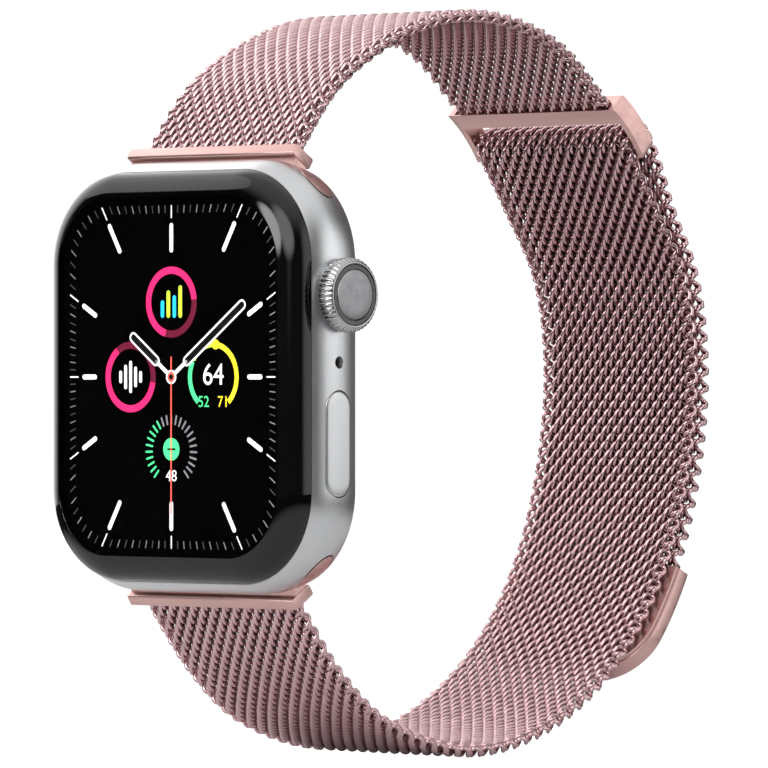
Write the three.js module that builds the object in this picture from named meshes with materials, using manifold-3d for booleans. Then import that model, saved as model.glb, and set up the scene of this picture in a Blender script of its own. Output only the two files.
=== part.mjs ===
// A smartwatch on a woven metal loop band, as an assembly of separate pieces, in millimetres.
// Origin: centre of the flat at the middle of the back crystal, where the watch rests on the wrist.
// +X towards the crown, +Y out of the back into the wrist, +Z towards 12 o'clock.
import * as THREE from "three";
import { mergeVertices } from "three/addons/utils/BufferGeometryUtils.js";
import Module from "manifold-3d";

// ---- Driving dimensions -------------------------------------------------------------------

// Case body
const caseWidth = 38;
const caseHeight = 44;
const caseCorner = 10.5;
const glassFaceY = -10.7;
const seamY = -8.0;
const bulgeY = -5.2;
const backEdgeY = -2.3;
const caseBackY = -1.7;
const seamInset = 1.0;
const backEdgeInset = 0.5;
const backFaceInset = 1.7;
const sideWall = 3.0;
const innerCorner = 7.5;

// Front glass, its seal and the display
const glassEdgeCurve = 3.45;
const seamGap = 0.05;
const sealLip = 0.35;
const sealRebate = 0.4;
const displayThickness = 1.15;
const displayGap = 0.3;
const pocketFloorY = -6.3;

// Clearances
const staticGap = 0.1;
const runningGap = 0.1;
const layerGap = 0.3;
const stackGap = 0.3;

// Crown, on an axis along X
const crownZ = 8.2;
const controlsY = -5.0;
const crownRadius = 3.75;
const crownThickness = 1.8;
const crownStandOff = 0.4;
const crownRidges = 40;
const crownRidgeDepth = 0.16;
const crownRecess = 0.4;
const crownRingRadius = 3.05;
const crownCapRadius = 2.55;
const stemRadius = 1.0;
const bushingWall = 0.95;
const bushingLength = 2.1;
const stemReach = 3.4;
const controlTravel = 0.3;
const crownSealThickness = 0.55;

// Side button, a capsule let into the same wall
const buttonZ = -6.75;
const buttonLength = 10.6;
const buttonWidth = 3.38;
const buttonDepth = 1.6;
const buttonGap = 0.12;
const buttonPostSpacing = 6.4;
const buttonPostRadius = 0.5;
const buttonSealThickness = 0.4;

// Microphone port and speaker slots
const micZ = 1.45;
const micPortRadius = 0.63;
const speakerSlotLength = 5.6;
const speakerSlotWidth = 1.0;
const speakerSlotSpacing = 8.0;

// Band channel: a round bead slides in from either side of the case
const beadRadius = 1.45;
const beadFromEnd = 2.45;
const beadY = -3.75;
const channelGap = 0.2;
const channelWall = 0.8;
const neckThickness = 1.7;
const neckRise = 2.75;
const neckLean = 0.95;
const clampLength = 3.1;
const clampThickness = 1.25;
const clampTilt = -33;

// Band release buttons and the sprung catches they press
const releaseLength = 6.8;
const releaseWidth = 1.7;
const releaseProud = 0.1;
const releaseThickness = 0.6;
const releaseTravel = 0.3;
const catchThickness = 1.6;

// Back cover and what is under it
const coverThickness = 0.95;
const crystalRadius = 13;
const crystalFlat = 5;
const crystalEdge = 0.2;
const bezelWidth = 0.8;
const bezelHeight = 0.4;
const coilOuter = 10.3;
const coilInner = 7.6;
const sensorRadius = 7.2;
const boardThickness = 0.45;
const boardInset = 0.8;
const boardScrewRadius = 0.55;
const screwHeadHeight = 0.5;
const screwFromSide = 2.8;
const screwFromEnd = 3.5;

// Middle layer of the case: speaker, battery, haptic motor and processor
const speakerWidth = 4.2;
const speakerEndMargin = 0.7;
const controlsBay = 6.5;
const batteryEndGap = 0.7;
const batteryTopGap = 1.1;
const hapticBottom = 2.6;
const hapticTop = 9.2;
const hapticWall = 0.8;
const hapticMassGap = 1.4;
const hapticSideGap = 0.4;
const processorDepth = 1.3;
const processorInset = 1.0;
const processorGap = 1.2;
const microphoneSize = 2.1;
const microphoneDepth = 1.1;

// Crown and button details
const crownRim = 0.4;
const ridgeStart = 0.2;
const ridgeEnd = 0.45;
const sealLength = 0.5;
const encoderRingRadius = 1.5;
const encoderRingLength = 0.6;
const encoderRingSet = 1.6;
const encoderDepth = 1.2;
const encoderSet = 0.7;
const encoderHeight = 2.0;
const sensorHalf = 1.0;
const thrustThickness = 0.4;
const thrustHalfWidth = 1.2;
const thrustHalfHeight = 1.5;
const switchDepth = 1.0;
const retainerSet = 1.0;
const retainerThickness = 0.5;
const retainerMargin = 2.4;
const retainerWidth = 2.0;
const buttonSwitchDepth = 0.8;
const bracketThickness = 0.4;
const bracketHalfWidth = 1.3;
const bracketHalfHeight = 4.6;

// Woven metal band
const strapWidth = 22;
const strapThickness = 1.5;
const clampOverhang = 0.8;
const loopBack = 59.6;
const tongueReturn = 47;

// Clasp ring
const ringLength = 6.9;
const ringThickness = 2.3;
const ringTilt = -45.5;
const ringBow = 0.35;
const ringSideWall = 0.75;
const ringSideGap = 0.2;
const ringTopBar = 2.2;
const ringFoldBar = 0.65;
const ringFoldBarSet = 0.45;
const ringFoldBarEdge = 0.05;
const easeOver = 12;

// Magnetic end tab
const tabLength = 13;
const tabThickness = 2.25;
const tabCorner = 5.5;
const tabOverhang = 0.4;
const tabPlate = 0.35;
const tabWall = 0.6;
const tabMagnets = 3;
const magnetSpacing = 6.2;
const magnetHalfWidth = 2.8;
const magnetFromMesh = 1.4;
const magnetFromEnd = 4.0;

// ---- Sizes worked out from them -----------------------------------------------------------

const halfX = caseWidth / 2;
const halfZ = caseHeight / 2;
const cavityX = halfX - sideWall;
const pocketZ = halfZ - sideWall;
const beadZ = halfZ - beadFromEnd;
const channelRadius = beadRadius + channelGap;
const coreZ = beadZ - channelRadius - channelWall;
const displayBackY = seamY + seamGap + displayThickness;
const coverY = caseBackY - coverThickness;
const boardY = coverY - stackGap / 2 - boardThickness;
const stackFrontY = displayBackY + stackGap;
const stackBackY = boardY - stackGap;
const clampY = beadY + neckLean;
const clampZ = beadZ + neckRise;
const adapterHalf = strapWidth / 2 + clampOverhang;
const boardScrewX = cavityX - screwFromSide;
const boardScrewZ = coreZ - screwFromEnd;
const speakerEdge = speakerWidth - cavityX;
const controlsEdge = cavityX - controlsBay;

// ---- Materials ----------------------------------------------------------------------------

function finish(color, roughness, metalness) {
  return new THREE.MeshStandardMaterial({ color, roughness, metalness });
}
const silver = () => finish(0xc9cacc, 0.35, 1.0);
const steel = () => finish(0x8e9094, 0.3, 1.0);
const darkPolymer = () => finish(0x1b1b1d, 0.6, 0.0);
const roseMetal = () => finish(0xd3a29c, 0.35, 1.0);
const roseMesh = () => finish(0xb98e8c, 0.35, 1.0);
const rubber = () => finish(0x222222, 0.8, 0.0);

// ---- Solid tools --------------------------------------------------------------------------

const wasm = await Module();
wasm.setup();

function solid(geometry) {
  const bare = geometry.clone();
  bare.deleteAttribute("normal");
  bare.deleteAttribute("uv");
  const merged = mergeVertices(bare, 1e-4);
  const triVerts = new Uint32Array(merged.index.array);
  const vertProperties = merged.attributes.position.array;
  return new wasm.Manifold(new wasm.Mesh({ numProp: 3, vertProperties, triVerts }));
}

function surface(manifold) {
  const mesh = manifold.getMesh();
  const geometry = new THREE.BufferGeometry();
  const points = new Float32Array(mesh.vertProperties);
  geometry.setAttribute("position", new THREE.BufferAttribute(points, 3));
  geometry.setIndex(new THREE.BufferAttribute(new Uint32Array(mesh.triVerts), 1));
  geometry.computeVertexNormals();
  return geometry;
}

function cut(body, ...tools) {
  return surface(tools.reduce((left, tool) => left.subtract(solid(tool)), solid(body)));
}

function join(...bodies) {
  return surface(bodies.map(solid).reduce((left, right) => left.add(right)));
}

function common(a, b) {
  return surface(solid(a).intersect(solid(b)));
}

// Joins rings of points, each with the same number of points, into one closed body with flat ends.
function loft(rings) {
  const size = rings[0].length;
  const points = rings.flat();
  const centre = (ring) => ring.reduce((sum, p) => sum.add(p), new THREE.Vector3()).divideScalar(size);
  const first = points.push(centre(rings[0])) - 1;
  const last = points.push(centre(rings[rings.length - 1])) - 1;
  const faces = [];
  rings.slice(1).forEach((_, r) => {
    for (let i = 0; i < size; i++) {
      const a = r * size + i;
      const b = r * size + ((i + 1) % size);
      faces.push(a, b, a + size, b, b + size, a + size);
    }
  });
  const end = (rings.length - 1) * size;
  for (let i = 0; i < size; i++) {
    const j = (i + 1) % size;
    faces.push(first, j, i, last, end + i, end + j);
  }
  const geometry = new THREE.BufferGeometry().setFromPoints(points);
  geometry.setIndex(isInsideOut(points, faces) ? faces.reverse() : faces);
  geometry.computeVertexNormals();
  return geometry;
}

function isInsideOut(points, faces) {
  let volume = 0;
  for (let i = 0; i < faces.length; i += 3) {
    const [a, b, c] = [points[faces[i]], points[faces[i + 1]], points[faces[i + 2]]];
    volume += a.dot(new THREE.Vector3().crossVectors(b, c));
  }
  return volume < 0;
}

// Extrudes an outline drawn in X and Z from y0 to y1.
function alongY(shape, y0, y1, curveSegments = 8) {
  const options = { depth: y1 - y0, bevelEnabled: false, curveSegments };
  const turn = new THREE.Matrix4().makeBasis(
    new THREE.Vector3(1, 0, 0),
    new THREE.Vector3(0, 0, 1),
    new THREE.Vector3(0, -1, 0),
  );
  return new THREE.ExtrudeGeometry(shape, options).applyMatrix4(turn).translate(0, y1, 0);
}

// Extrudes an outline drawn in Y and Z from x0 to x1.
function alongX(shape, x0, x1, curveSegments = 8) {
  const options = { depth: x1 - x0, bevelEnabled: false, curveSegments };
  const turn = new THREE.Matrix4().makeBasis(
    new THREE.Vector3(0, 1, 0),
    new THREE.Vector3(0, 0, 1),
    new THREE.Vector3(1, 0, 0),
  );
  return new THREE.ExtrudeGeometry(shape, options).applyMatrix4(turn).translate(x0, 0, 0);
}

function box(x0, x1, y0, y1, z0, z1) {
  const geometry = new THREE.BoxGeometry(x1 - x0, y1 - y0, z1 - z0);
  return geometry.translate((x0 + x1) / 2, (y0 + y1) / 2, (z0 + z1) / 2);
}

// Turns a profile of [radius, distance] points about an axis along X.
function turnedX(profile, y, z, sides = 32) {
  const points = profile.map(([r, h]) => new THREE.Vector2(r, h));
  return new THREE.LatheGeometry(points, sides).rotateZ(-Math.PI / 2).translate(0, y, z);
}

// Turns a profile of [radius, distance] points about the Y axis through x, z.
function turnedY(profile, sides = 48, x = 0, z = 0) {
  const points = profile.map(([r, h]) => new THREE.Vector2(r, h));
  return new THREE.LatheGeometry(points, sides).translate(x, 0, z);
}

const rod = (radius, from, to) => [[0, from], [radius, from], [radius, to], [0, to]];
const sleeve = (inner, outer, from, to) => [
  [inner, from],
  [outer, from],
  [outer, to],
  [inner, to],
  [inner, from],
];

function roundedRectangle(halfWidth, halfLength, radius) {
  const shape = new THREE.Shape();
  shape.moveTo(halfWidth, -halfLength + radius);
  shape.absarc(halfWidth - radius, halfLength - radius, radius, 0, Math.PI / 2);
  shape.absarc(-halfWidth + radius, halfLength - radius, radius, Math.PI / 2, Math.PI);
  shape.absarc(-halfWidth + radius, -halfLength + radius, radius, Math.PI, 1.5 * Math.PI);
  shape.absarc(halfWidth - radius, -halfLength + radius, radius, 1.5 * Math.PI, 2 * Math.PI);
  return shape;
}

// A slot with round ends; it runs along the second axis when upright is true.
function capsule(length, width, centre0, centre1, upright) {
  const half = (length - width) / 2;
  const radius = width / 2;
  const start = upright ? 0 : -Math.PI / 2;
  const [u, v] = upright ? [0, half] : [half, 0];
  const shape = new THREE.Shape();
  shape.absarc(centre0 + u, centre1 + v, radius, start, start + Math.PI);
  shape.absarc(centre0 - u, centre1 - v, radius, start + Math.PI, start + 2 * Math.PI);
  return shape;
}

function circle(radius, centre0, centre1) {
  return new THREE.Shape().absarc(centre0, centre1, radius, 0, 2 * Math.PI);
}

// ---- Case ---------------------------------------------------------------------------------

// One level of the case outline, drawn in by inset all round.
function outlineRing(inset, y, steps = 9) {
  const x = halfX - inset;
  const z = halfZ - inset;
  const radius = caseCorner - inset;
  const ring = [];
  for (let corner = 0; corner < 4; corner++) {
    const sx = corner === 0 || corner === 3 ? 1 : -1;
    const sz = corner < 2 ? 1 : -1;
    for (let i = 0; i <= steps; i++) {
      const angle = ((corner + i / steps) * Math.PI) / 2;
      const px = sx * (x - radius) + radius * Math.cos(angle);
      const pz = sz * (z - radius) + radius * Math.sin(angle);
      ring.push(new THREE.Vector3(px, y, pz));
    }
  }
  return ring;
}

// Softly bulged sides, then a round edge into the flat back.
function caseOuter() {
  const rings = [];
  const frontSteps = 5;
  for (let i = 0; i <= frontSteps; i++) {
    const t = 1 - i / frontSteps;
    rings.push(outlineRing(seamInset * t * t, THREE.MathUtils.lerp(bulgeY, seamY, t)));
  }
  const rearSteps = 4;
  for (let i = 1; i <= rearSteps; i++) {
    const t = i / rearSteps;
    rings.push(outlineRing(backEdgeInset * t * t, THREE.MathUtils.lerp(bulgeY, backEdgeY, t)));
  }
  const roundSteps = 4;
  for (let i = 1; i <= roundSteps; i++) {
    const angle = ((i / roundSteps) * Math.PI) / 2;
    const inset = backEdgeInset + (backFaceInset - backEdgeInset) * (1 - Math.cos(angle));
    rings.push(outlineRing(inset, backEdgeY + (caseBackY - backEdgeY) * Math.sin(angle)));
  }
  return loft(rings);
}

// Outline of the band adapter in Y and Z, grown all round by gap; side is 1 at 12 o'clock.
function lugShapes(gap, side) {
  const bead = circle(beadRadius + gap, beadY, side * beadZ);
  const along = new THREE.Vector2(neckLean, neckRise).normalize();
  const across = new THREE.Vector2(along.y, -along.x).multiplyScalar(neckThickness / 2 + gap);
  const foot = new THREE.Vector2(beadY, beadZ);
  const head = new THREE.Vector2(clampY, clampZ);
  const neck = [
    foot.clone().add(across),
    head.clone().add(across),
    head.clone().sub(across),
    foot.clone().sub(across),
  ];
  const tilt = THREE.MathUtils.degToRad(clampTilt);
  const clamp = roundedRectangle(clampLength / 2 + gap, clampThickness / 2 + gap, 0.4 + gap)
    .getPoints(4)
    .map((p) => p.rotateAround(new THREE.Vector2(), tilt).add(head));
  const mirrored = (points) => new THREE.Shape(points.map((p) => new THREE.Vector2(p.x, side * p.y)));
  return { bead, neck: mirrored(neck), clamp: mirrored(clamp) };
}

function controlShape(gap) {
  return capsule(buttonLength + 2 * gap, buttonWidth + 2 * gap, controlsY, buttonZ, true);
}

const postZ = [buttonZ + buttonPostSpacing / 2, buttonZ - buttonPostSpacing / 2];
const buttonSeatX = halfX - buttonDepth - controlTravel - staticGap;
const bushingRadius = stemRadius + runningGap + bushingWall;
const postBore = buttonPostRadius + buttonSealThickness + 2 * staticGap;

function caseShell() {
  const tools = [
    alongY(roundedRectangle(cavityX, pocketZ, innerCorner), seamY - 1, pocketFloorY),
    alongY(roundedRectangle(cavityX, coreZ, innerCorner - 1), pocketFloorY - 1, caseBackY + 1),
    alongY(
      roundedRectangle(
        halfX - seamInset - sealLip,
        halfZ - seamInset - sealLip,
        caseCorner - seamInset - sealLip,
      ),
      seamY - 1,
      seamY + sealRebate,
    ),
    turnedX(rod(bushingRadius + staticGap, cavityX - 1, halfX + 1), controlsY, crownZ),
    turnedX(rod(micPortRadius, cavityX - 1, halfX + 1), controlsY, micZ, 20),
    alongX(controlShape(buttonGap), buttonSeatX, halfX + 1),
    ...postZ.map((z) => turnedX(rod(postBore, cavityX - 1, buttonSeatX + 1), controlsY, z, 20)),
  ];
  for (const sign of [-1, 1]) {
    const z = (sign * speakerSlotSpacing) / 2;
    const slot = capsule(speakerSlotLength, speakerSlotWidth, controlsY, z, true);
    tools.push(alongX(slot, -halfX - 1, -cavityX + 1, 5));
    const { bead, neck, clamp } = lugShapes(channelGap, sign);
    for (const shape of [bead, neck, clamp]) {
      tools.push(alongX(shape, -halfX - 1, halfX + 1, 14));
    }
    tools.push(alongY(releaseShape(staticGap, sign), beadY, caseBackY + 1));
  }
  return cut(caseOuter(), ...tools);
}

function frontGlass() {
  const rings = [];
  const steps = 6;
  const edgeInset = seamInset + seamGap;
  const backY = seamY - seamGap;
  for (let i = 0; i <= steps; i++) {
    const angle = ((i / steps) * Math.PI) / 2;
    const inset = edgeInset + glassEdgeCurve * (1 - Math.cos(angle));
    rings.push(outlineRing(inset, backY + (glassFaceY - backY) * Math.sin(angle)));
  }
  return loft(rings);
}

function glassGasket() {
  const edge = seamInset + sealLip + staticGap;
  const frame = roundedRectangle(halfX - edge, halfZ - edge, caseCorner - edge);
  frame.holes.push(roundedRectangle(cavityX + staticGap, pocketZ + staticGap, innerCorner));
  return alongY(frame, seamY + seamGap, seamY + sealRebate - seamGap);
}

function displayPanel() {
  const panel = roundedRectangle(cavityX - displayGap, pocketZ - displayGap, innerCorner - displayGap);
  return alongY(panel, seamY + seamGap, displayBackY);
}

// ---- Back of the case ---------------------------------------------------------------------

function backCover() {
  const plate = roundedRectangle(cavityX - staticGap, coreZ - staticGap, innerCorner - 1 - staticGap);
  plate.holes.push(circle(coilOuter + stackGap, 0, 0));
  return alongY(plate, coverY, caseBackY - seamGap, 10);
}

function backCrystal() {
  const foot = caseBackY + seamGap / 2;
  const profile = [[0, foot], [crystalRadius, foot], [crystalRadius, foot + crystalEdge]];
  const steps = 7;
  for (let i = 1; i <= steps; i++) {
    const angle = ((i / steps) * Math.PI) / 2;
    const r = crystalFlat + (crystalRadius - crystalFlat) * Math.cos(angle);
    profile.push([r, (foot + crystalEdge) * (1 - Math.sin(angle))]);
  }
  profile.push([0, 0]);
  return turnedY(profile);
}

function crystalBezel() {
  const inner = crystalRadius + staticGap;
  return turnedY(sleeve(inner, inner + bezelWidth, caseBackY + seamGap, caseBackY + bezelHeight));
}

function chargingCoil() {
  return turnedY(sleeve(coilInner, coilOuter, coverY, caseBackY - staticGap), 36);
}

function sensorBoard() {
  return turnedY(rod(sensorRadius, coverY, caseBackY - staticGap), 36);
}

const screwPlaces = [1, -1].flatMap((sx) => [1, -1].map((sz) => [sx * boardScrewX, sz * boardScrewZ]));

function mainBoard() {
  const corner = innerCorner - 1 - boardInset;
  const plate = roundedRectangle(cavityX - boardInset, coreZ - boardInset, corner);
  for (const [x, z] of screwPlaces) {
    plate.holes.push(circle(boardScrewRadius + staticGap, x, z));
  }
  return alongY(plate, boardY, boardY + boardThickness, 6);
}

function boardScrew(x, z) {
  const head = 2 * boardScrewRadius;
  const headY = boardY - seamGap;
  const tip = boardY + boardThickness;
  return turnedY(
    [
      [0, headY - screwHeadHeight],
      [head, headY - screwHeadHeight],
      [head, headY],
      [boardScrewRadius, headY],
      [boardScrewRadius, tip],
      [0, tip],
    ],
    16,
    x,
    z,
  );
}

// ---- Parts in the middle layer of the case -----------------------------------------------

function battery() {
  const floor = batteryEndGap - coreZ;
  const top = hapticBottom - batteryTopGap;
  return box(speakerEdge + stackGap, controlsEdge, stackFrontY, stackBackY, floor, top);
}

function hapticHousing() {
  const left = speakerEdge + stackGap;
  const outer = box(left, controlsEdge, stackFrontY, stackBackY, hapticBottom, hapticTop);
  const bay = box(
    left + hapticWall,
    controlsEdge - hapticWall,
    stackFrontY - 1,
    stackBackY - hapticWall,
    hapticBottom + hapticWall,
    hapticTop - hapticWall,
  );
  return cut(outer, bay);
}

function hapticMass() {
  const inset = hapticWall + hapticMassGap;
  return box(
    speakerEdge + stackGap + inset,
    controlsEdge - inset,
    stackFrontY + stackGap,
    stackBackY - hapticWall - stackGap,
    hapticBottom + hapticWall + hapticSideGap,
    hapticTop - hapticWall - hapticSideGap,
  );
}

function processorPackage() {
  const front = stackBackY - processorDepth;
  const [left, right] = [speakerEdge + processorInset, controlsEdge - processorInset];
  return box(left, right, front, stackBackY, hapticTop + processorGap, coreZ - processorInset);
}

function speaker() {
  const half = speakerSlotSpacing / 2 + speakerSlotLength / 2 + speakerEndMargin;
  return box(-cavityX + stackGap, speakerEdge, stackFrontY, stackBackY, -half, half);
}

function microphone() {
  const half = microphoneSize / 2;
  const right = cavityX - stackGap;
  const [front, back] = [controlsY - sensorHalf, controlsY + sensorHalf];
  return box(right - microphoneDepth, right, front, back, micZ - half, micZ + half);
}

// ---- Crown --------------------------------------------------------------------------------

const crownBaseX = halfX + crownStandOff;
const crownFaceX = crownBaseX + crownThickness;
const stemInnerX = cavityX - stemReach + runningGap;
const stemOuterX = crownFaceX - crownRecess - ridgeEnd;
const bushingX = cavityX + staticGap;

function crownKnob() {
  const edge = crownRadius - crownRidgeDepth;
  const body = turnedX(
    [
      [0, crownBaseX],
      [edge, crownBaseX],
      [edge, crownFaceX - crownRim],
      [crownRingRadius + 0.2, crownFaceX],
      [0, crownFaceX],
    ],
    controlsY,
    crownZ,
    2 * crownRidges,
  );
  const recess = turnedX(
    rod(crownRingRadius + staticGap, crownFaceX - crownRecess, crownFaceX + 1),
    controlsY,
    crownZ,
    48,
  );
  const socket = turnedX(rod(stemRadius + staticGap, crownBaseX - 1, stemOuterX + 0.1), controlsY, crownZ);
  return cut(join(body, crownRidgeRing()), recess, socket);
}

// The ridged band round the knob: a toothed outline, extruded.
function crownRidgeRing() {
  const shape = new THREE.Shape();
  for (let i = 0; i < 2 * crownRidges; i++) {
    const angle = (i / (2 * crownRidges)) * 2 * Math.PI;
    const radius = i % 2 ? crownRadius : crownRadius - crownRidgeDepth;
    const y = controlsY + radius * Math.cos(angle);
    const z = crownZ + radius * Math.sin(angle);
    if (i === 0) shape.moveTo(y, z);
    else shape.lineTo(y, z);
  }
  shape.closePath();
  return alongX(shape, crownBaseX + ridgeStart, crownFaceX - ridgeEnd);
}

function crownRing() {
  const inner = crownCapRadius + staticGap;
  const floor = crownFaceX - crownRecess + seamGap;
  return turnedX(sleeve(inner, crownRingRadius, floor, crownFaceX - seamGap), controlsY, crownZ, 48);
}

function crownCap() {
  const floor = crownFaceX - crownRecess + seamGap;
  return turnedX(rod(crownCapRadius, floor, crownFaceX), controlsY, crownZ, 48);
}

function crownStem() {
  return turnedX(rod(stemRadius, stemInnerX, stemOuterX), controlsY, crownZ);
}

function crownBushing() {
  const profile = sleeve(stemRadius + runningGap, bushingRadius, bushingX, bushingX + bushingLength);
  return turnedX(profile, controlsY, crownZ);
}

function crownSeal() {
  const inner = stemRadius + runningGap + 0.1;
  const from = bushingX + bushingLength + staticGap;
  return turnedX(sleeve(inner, inner + crownSealThickness, from, from + sealLength), controlsY, crownZ);
}

function crownEncoderRing() {
  const from = cavityX - encoderRingSet;
  const profile = sleeve(stemRadius + seamGap, encoderRingRadius, from, from + encoderRingLength);
  return turnedX(profile, controlsY, crownZ);
}

function crownEncoder() {
  const z = crownZ + encoderRingRadius + stackGap;
  const right = cavityX - encoderSet;
  const [front, back] = [controlsY - sensorHalf, controlsY + sensorHalf];
  return box(right - encoderDepth, right, front, back, z, z + encoderHeight);
}

function crownThrustPlate() {
  const right = stemInnerX - staticGap;
  const [front, back] = [controlsY - thrustHalfWidth, controlsY + thrustHalfWidth];
  const [low, high] = [crownZ - thrustHalfHeight, crownZ + thrustHalfHeight];
  return box(right - thrustThickness, right, front, back, low, high);
}

function crownSwitch() {
  const right = stemInnerX - staticGap - thrustThickness - controlTravel - staticGap;
  const [front, back] = [controlsY - sensorHalf, controlsY + sensorHalf];
  const [low, high] = [crownZ - thrustHalfWidth, crownZ + thrustHalfWidth];
  return box(right - switchDepth, right, front, back, low, high);
}

// ---- Side button --------------------------------------------------------------------------

const retainerX = cavityX - retainerSet;
const buttonSwitchX = retainerX - staticGap - retainerThickness - controlTravel - staticGap;

function sideButton() {
  const cap = common(alongX(controlShape(0), halfX - buttonDepth, halfX + 1), caseOuter());
  const posts = postZ.map((z) =>
    turnedX(rod(buttonPostRadius, retainerX, halfX - buttonDepth + 0.2), controlsY, z, 16),
  );
  return join(cap, ...posts);
}

function buttonSeal(z) {
  const inner = buttonPostRadius + staticGap;
  const from = cavityX + 0.2;
  return turnedX(sleeve(inner, inner + buttonSealThickness, from, from + sealLength), controlsY, z, 16);
}

function buttonRetainer() {
  const shape = capsule(buttonPostSpacing + retainerMargin, retainerWidth, controlsY, buttonZ, true);
  const right = retainerX - staticGap;
  return alongX(shape, right - retainerThickness, right, 6);
}

function buttonSwitch() {
  const left = buttonSwitchX - buttonSwitchDepth;
  const [front, back] = [controlsY - sensorHalf, controlsY + sensorHalf];
  const [low, high] = [buttonZ - thrustHalfHeight, buttonZ + thrustHalfHeight];
  return box(left, buttonSwitchX, front, back, low, high);
}

function buttonBracket() {
  const right = buttonSwitchX - buttonSwitchDepth - staticGap;
  const [front, back] = [controlsY - bracketHalfWidth, controlsY + bracketHalfWidth];
  const [low, high] = [buttonZ - bracketHalfHeight, buttonZ + bracketHalfHeight];
  return box(right - bracketThickness, right, front, back, low, high);
}

// ---- Band release and adapters ------------------------------------------------------------

function releaseShape(gap, side) {
  return capsule(releaseLength + 2 * gap, releaseWidth + 2 * gap, 0, side * beadZ, false);
}

function releaseButton(side) {
  const top = caseBackY + releaseProud;
  return alongY(releaseShape(0, side), top - releaseThickness, top);
}

const catchTopY = beadY + beadRadius - releaseTravel;
const catchPocketY = catchTopY - catchThickness - releaseTravel - staticGap;

function catchBox(side, gap, y0, y1) {
  const halfLength = releaseLength / 2 + gap;
  const halfWidth = releaseWidth / 2 + gap;
  return box(-halfLength, halfLength, y0, y1, side * beadZ - halfWidth, side * beadZ + halfWidth);
}

function lugCatch(side) {
  return catchBox(side, -staticGap, catchTopY - catchThickness, catchTopY);
}

// The bead and neck end flush with the case sides; the clamp bar outside is as wide as the band.
function lugAdapter(side) {
  const { bead, neck, clamp } = lugShapes(0, side);
  const inCase = [bead, neck].map((shape) => alongX(shape, -halfX, halfX, 14));
  const flush = common(join(...inCase), caseOuter());
  const outside = [neck, clamp].map((shape) => alongX(shape, -adapterHalf, adapterHalf));
  const pocket = catchBox(side, staticGap, catchPocketY, caseBackY + 1);
  return cut(join(flush, ...outside), pocket);
}

// ---- Band ---------------------------------------------------------------------------------

// The band's middle line, in Y and Z. It leaves each clamp, and its far half is set from the back.
const upperLine = [
  [clampY, clampZ],
  [clampY + 6.3, clampZ + 7.4],
  [clampY + 14.0, clampZ + 12.1],
  [clampY + 22.8, clampZ + 14.9],
  [loopBack - 30.4, clampZ + 15.1],
  [loopBack - 21.7, clampZ + 12.5],
];
const ringTop = [loopBack - 13.9, clampZ + 6.85];
const lowerLine = [
  [clampY, -clampZ],
  [clampY + 6.7, -clampZ - 8.0],
  [clampY + 13.8, -clampZ - 13.3],
  [clampY + 26.6, -clampZ - 16.6],
  [loopBack - 22.8, -clampZ - 14.3],
  [loopBack - 11.6, -clampZ - 7.0],
  [loopBack - 3.8, -clampZ + 4.4],
  [loopBack, -1.5],
  [loopBack - 1.6, clampZ - 11.8],
  [loopBack - 6.7, clampZ - 3.7],
];

// The clasp ring's own directions: down runs along its side plates, out points away from the wrist.
const ringAngle = THREE.MathUtils.degToRad(ringTilt);
const ringDown = new THREE.Vector2(Math.cos(ringAngle), Math.sin(ringAngle));
const ringOut = new THREE.Vector2(-ringDown.y, ringDown.x);
function ringPoint(down, out) {
  return new THREE.Vector2(...ringTop).addScaledVector(ringDown, down).addScaledVector(ringOut, out);
}
const foldBar = ringPoint(ringLength - ringFoldBar - ringFoldBarEdge, ringFoldBarSet);
const foldRadius = ringFoldBar + layerGap + strapThickness / 2;
const foldStart = foldBar.clone().addScaledVector(ringOut, -foldRadius);
const meshToRing = ringPoint(-layerGap, strapThickness / 2 - ringThickness / 2);

// Places along a middle line: where, which way is out, and how far along.
function stations(line, side, from, to, count) {
  const curve = new THREE.CatmullRomCurve3(line.map(([y, z]) => new THREE.Vector3(0, y, z)));
  const length = curve.getLength();
  return Array.from({ length: count + 1 }, (_, i) => {
    const along = from + ((length - to - from) * i) / count;
    const share = Math.min(1, along / length);
    const point = curve.getPointAt(share);
    const tangent = curve.getTangentAt(share);
    return { y: point.y, z: point.z, outY: -side * tangent.z, outZ: side * tangent.y, along };
  });
}

// The half turn that the tongue makes round the fold bar.
function foldStations(count) {
  return Array.from({ length: count }, (_, i) => {
    const turn = ((i + 1) / count) * Math.PI;
    const out = ringOut.clone().multiplyScalar(-Math.cos(turn));
    out.addScaledVector(ringDown, -Math.sin(turn));
    const place = foldBar.clone().addScaledVector(out, foldRadius);
    return { y: place.x, z: place.y, outY: out.x, outZ: out.y, along: 0 };
  });
}

// A strap along the stations, between two offsets from the middle line, with eased long edges.
function ribbon(places, inner, outer, x0, x1, ease = 0.3) {
  const value = (v, place) => (typeof v === "function" ? v(place) : v);
  return loft(
    places.map((place) => {
      const [low, high] = [value(inner, place), value(outer, place)];
      const [left, right] = [value(x0, place), value(x1, place)];
      const corners = [
        [left, low + ease],
        [left + ease, low],
        [right - ease, low],
        [right, low + ease],
        [right, high - ease],
        [right - ease, high],
        [left + ease, high],
        [left, high - ease],
      ];
      return corners.map(
        ([x, o]) => new THREE.Vector3(x, place.y + o * place.outY, place.z + o * place.outZ),
      );
    }),
  );
}

const strapHalf = strapWidth / 2;
const halfThickness = strapThickness / 2;
const clampFace = clampThickness / 2 + layerGap;

function strapUpper() {
  const places = stations([...upperLine, meshToRing.toArray()], 1, clampFace, 0, 40);
  return ribbon(places, -halfThickness, halfThickness, -strapHalf, strapHalf);
}

const lowerPath = [...lowerLine, foldStart.toArray()];

function strapLower() {
  const places = [...stations(lowerPath, -1, clampFace, 0, 60), ...foldStations(10)];
  return ribbon(places, -halfThickness, halfThickness, -strapHalf, strapHalf);
}

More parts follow.
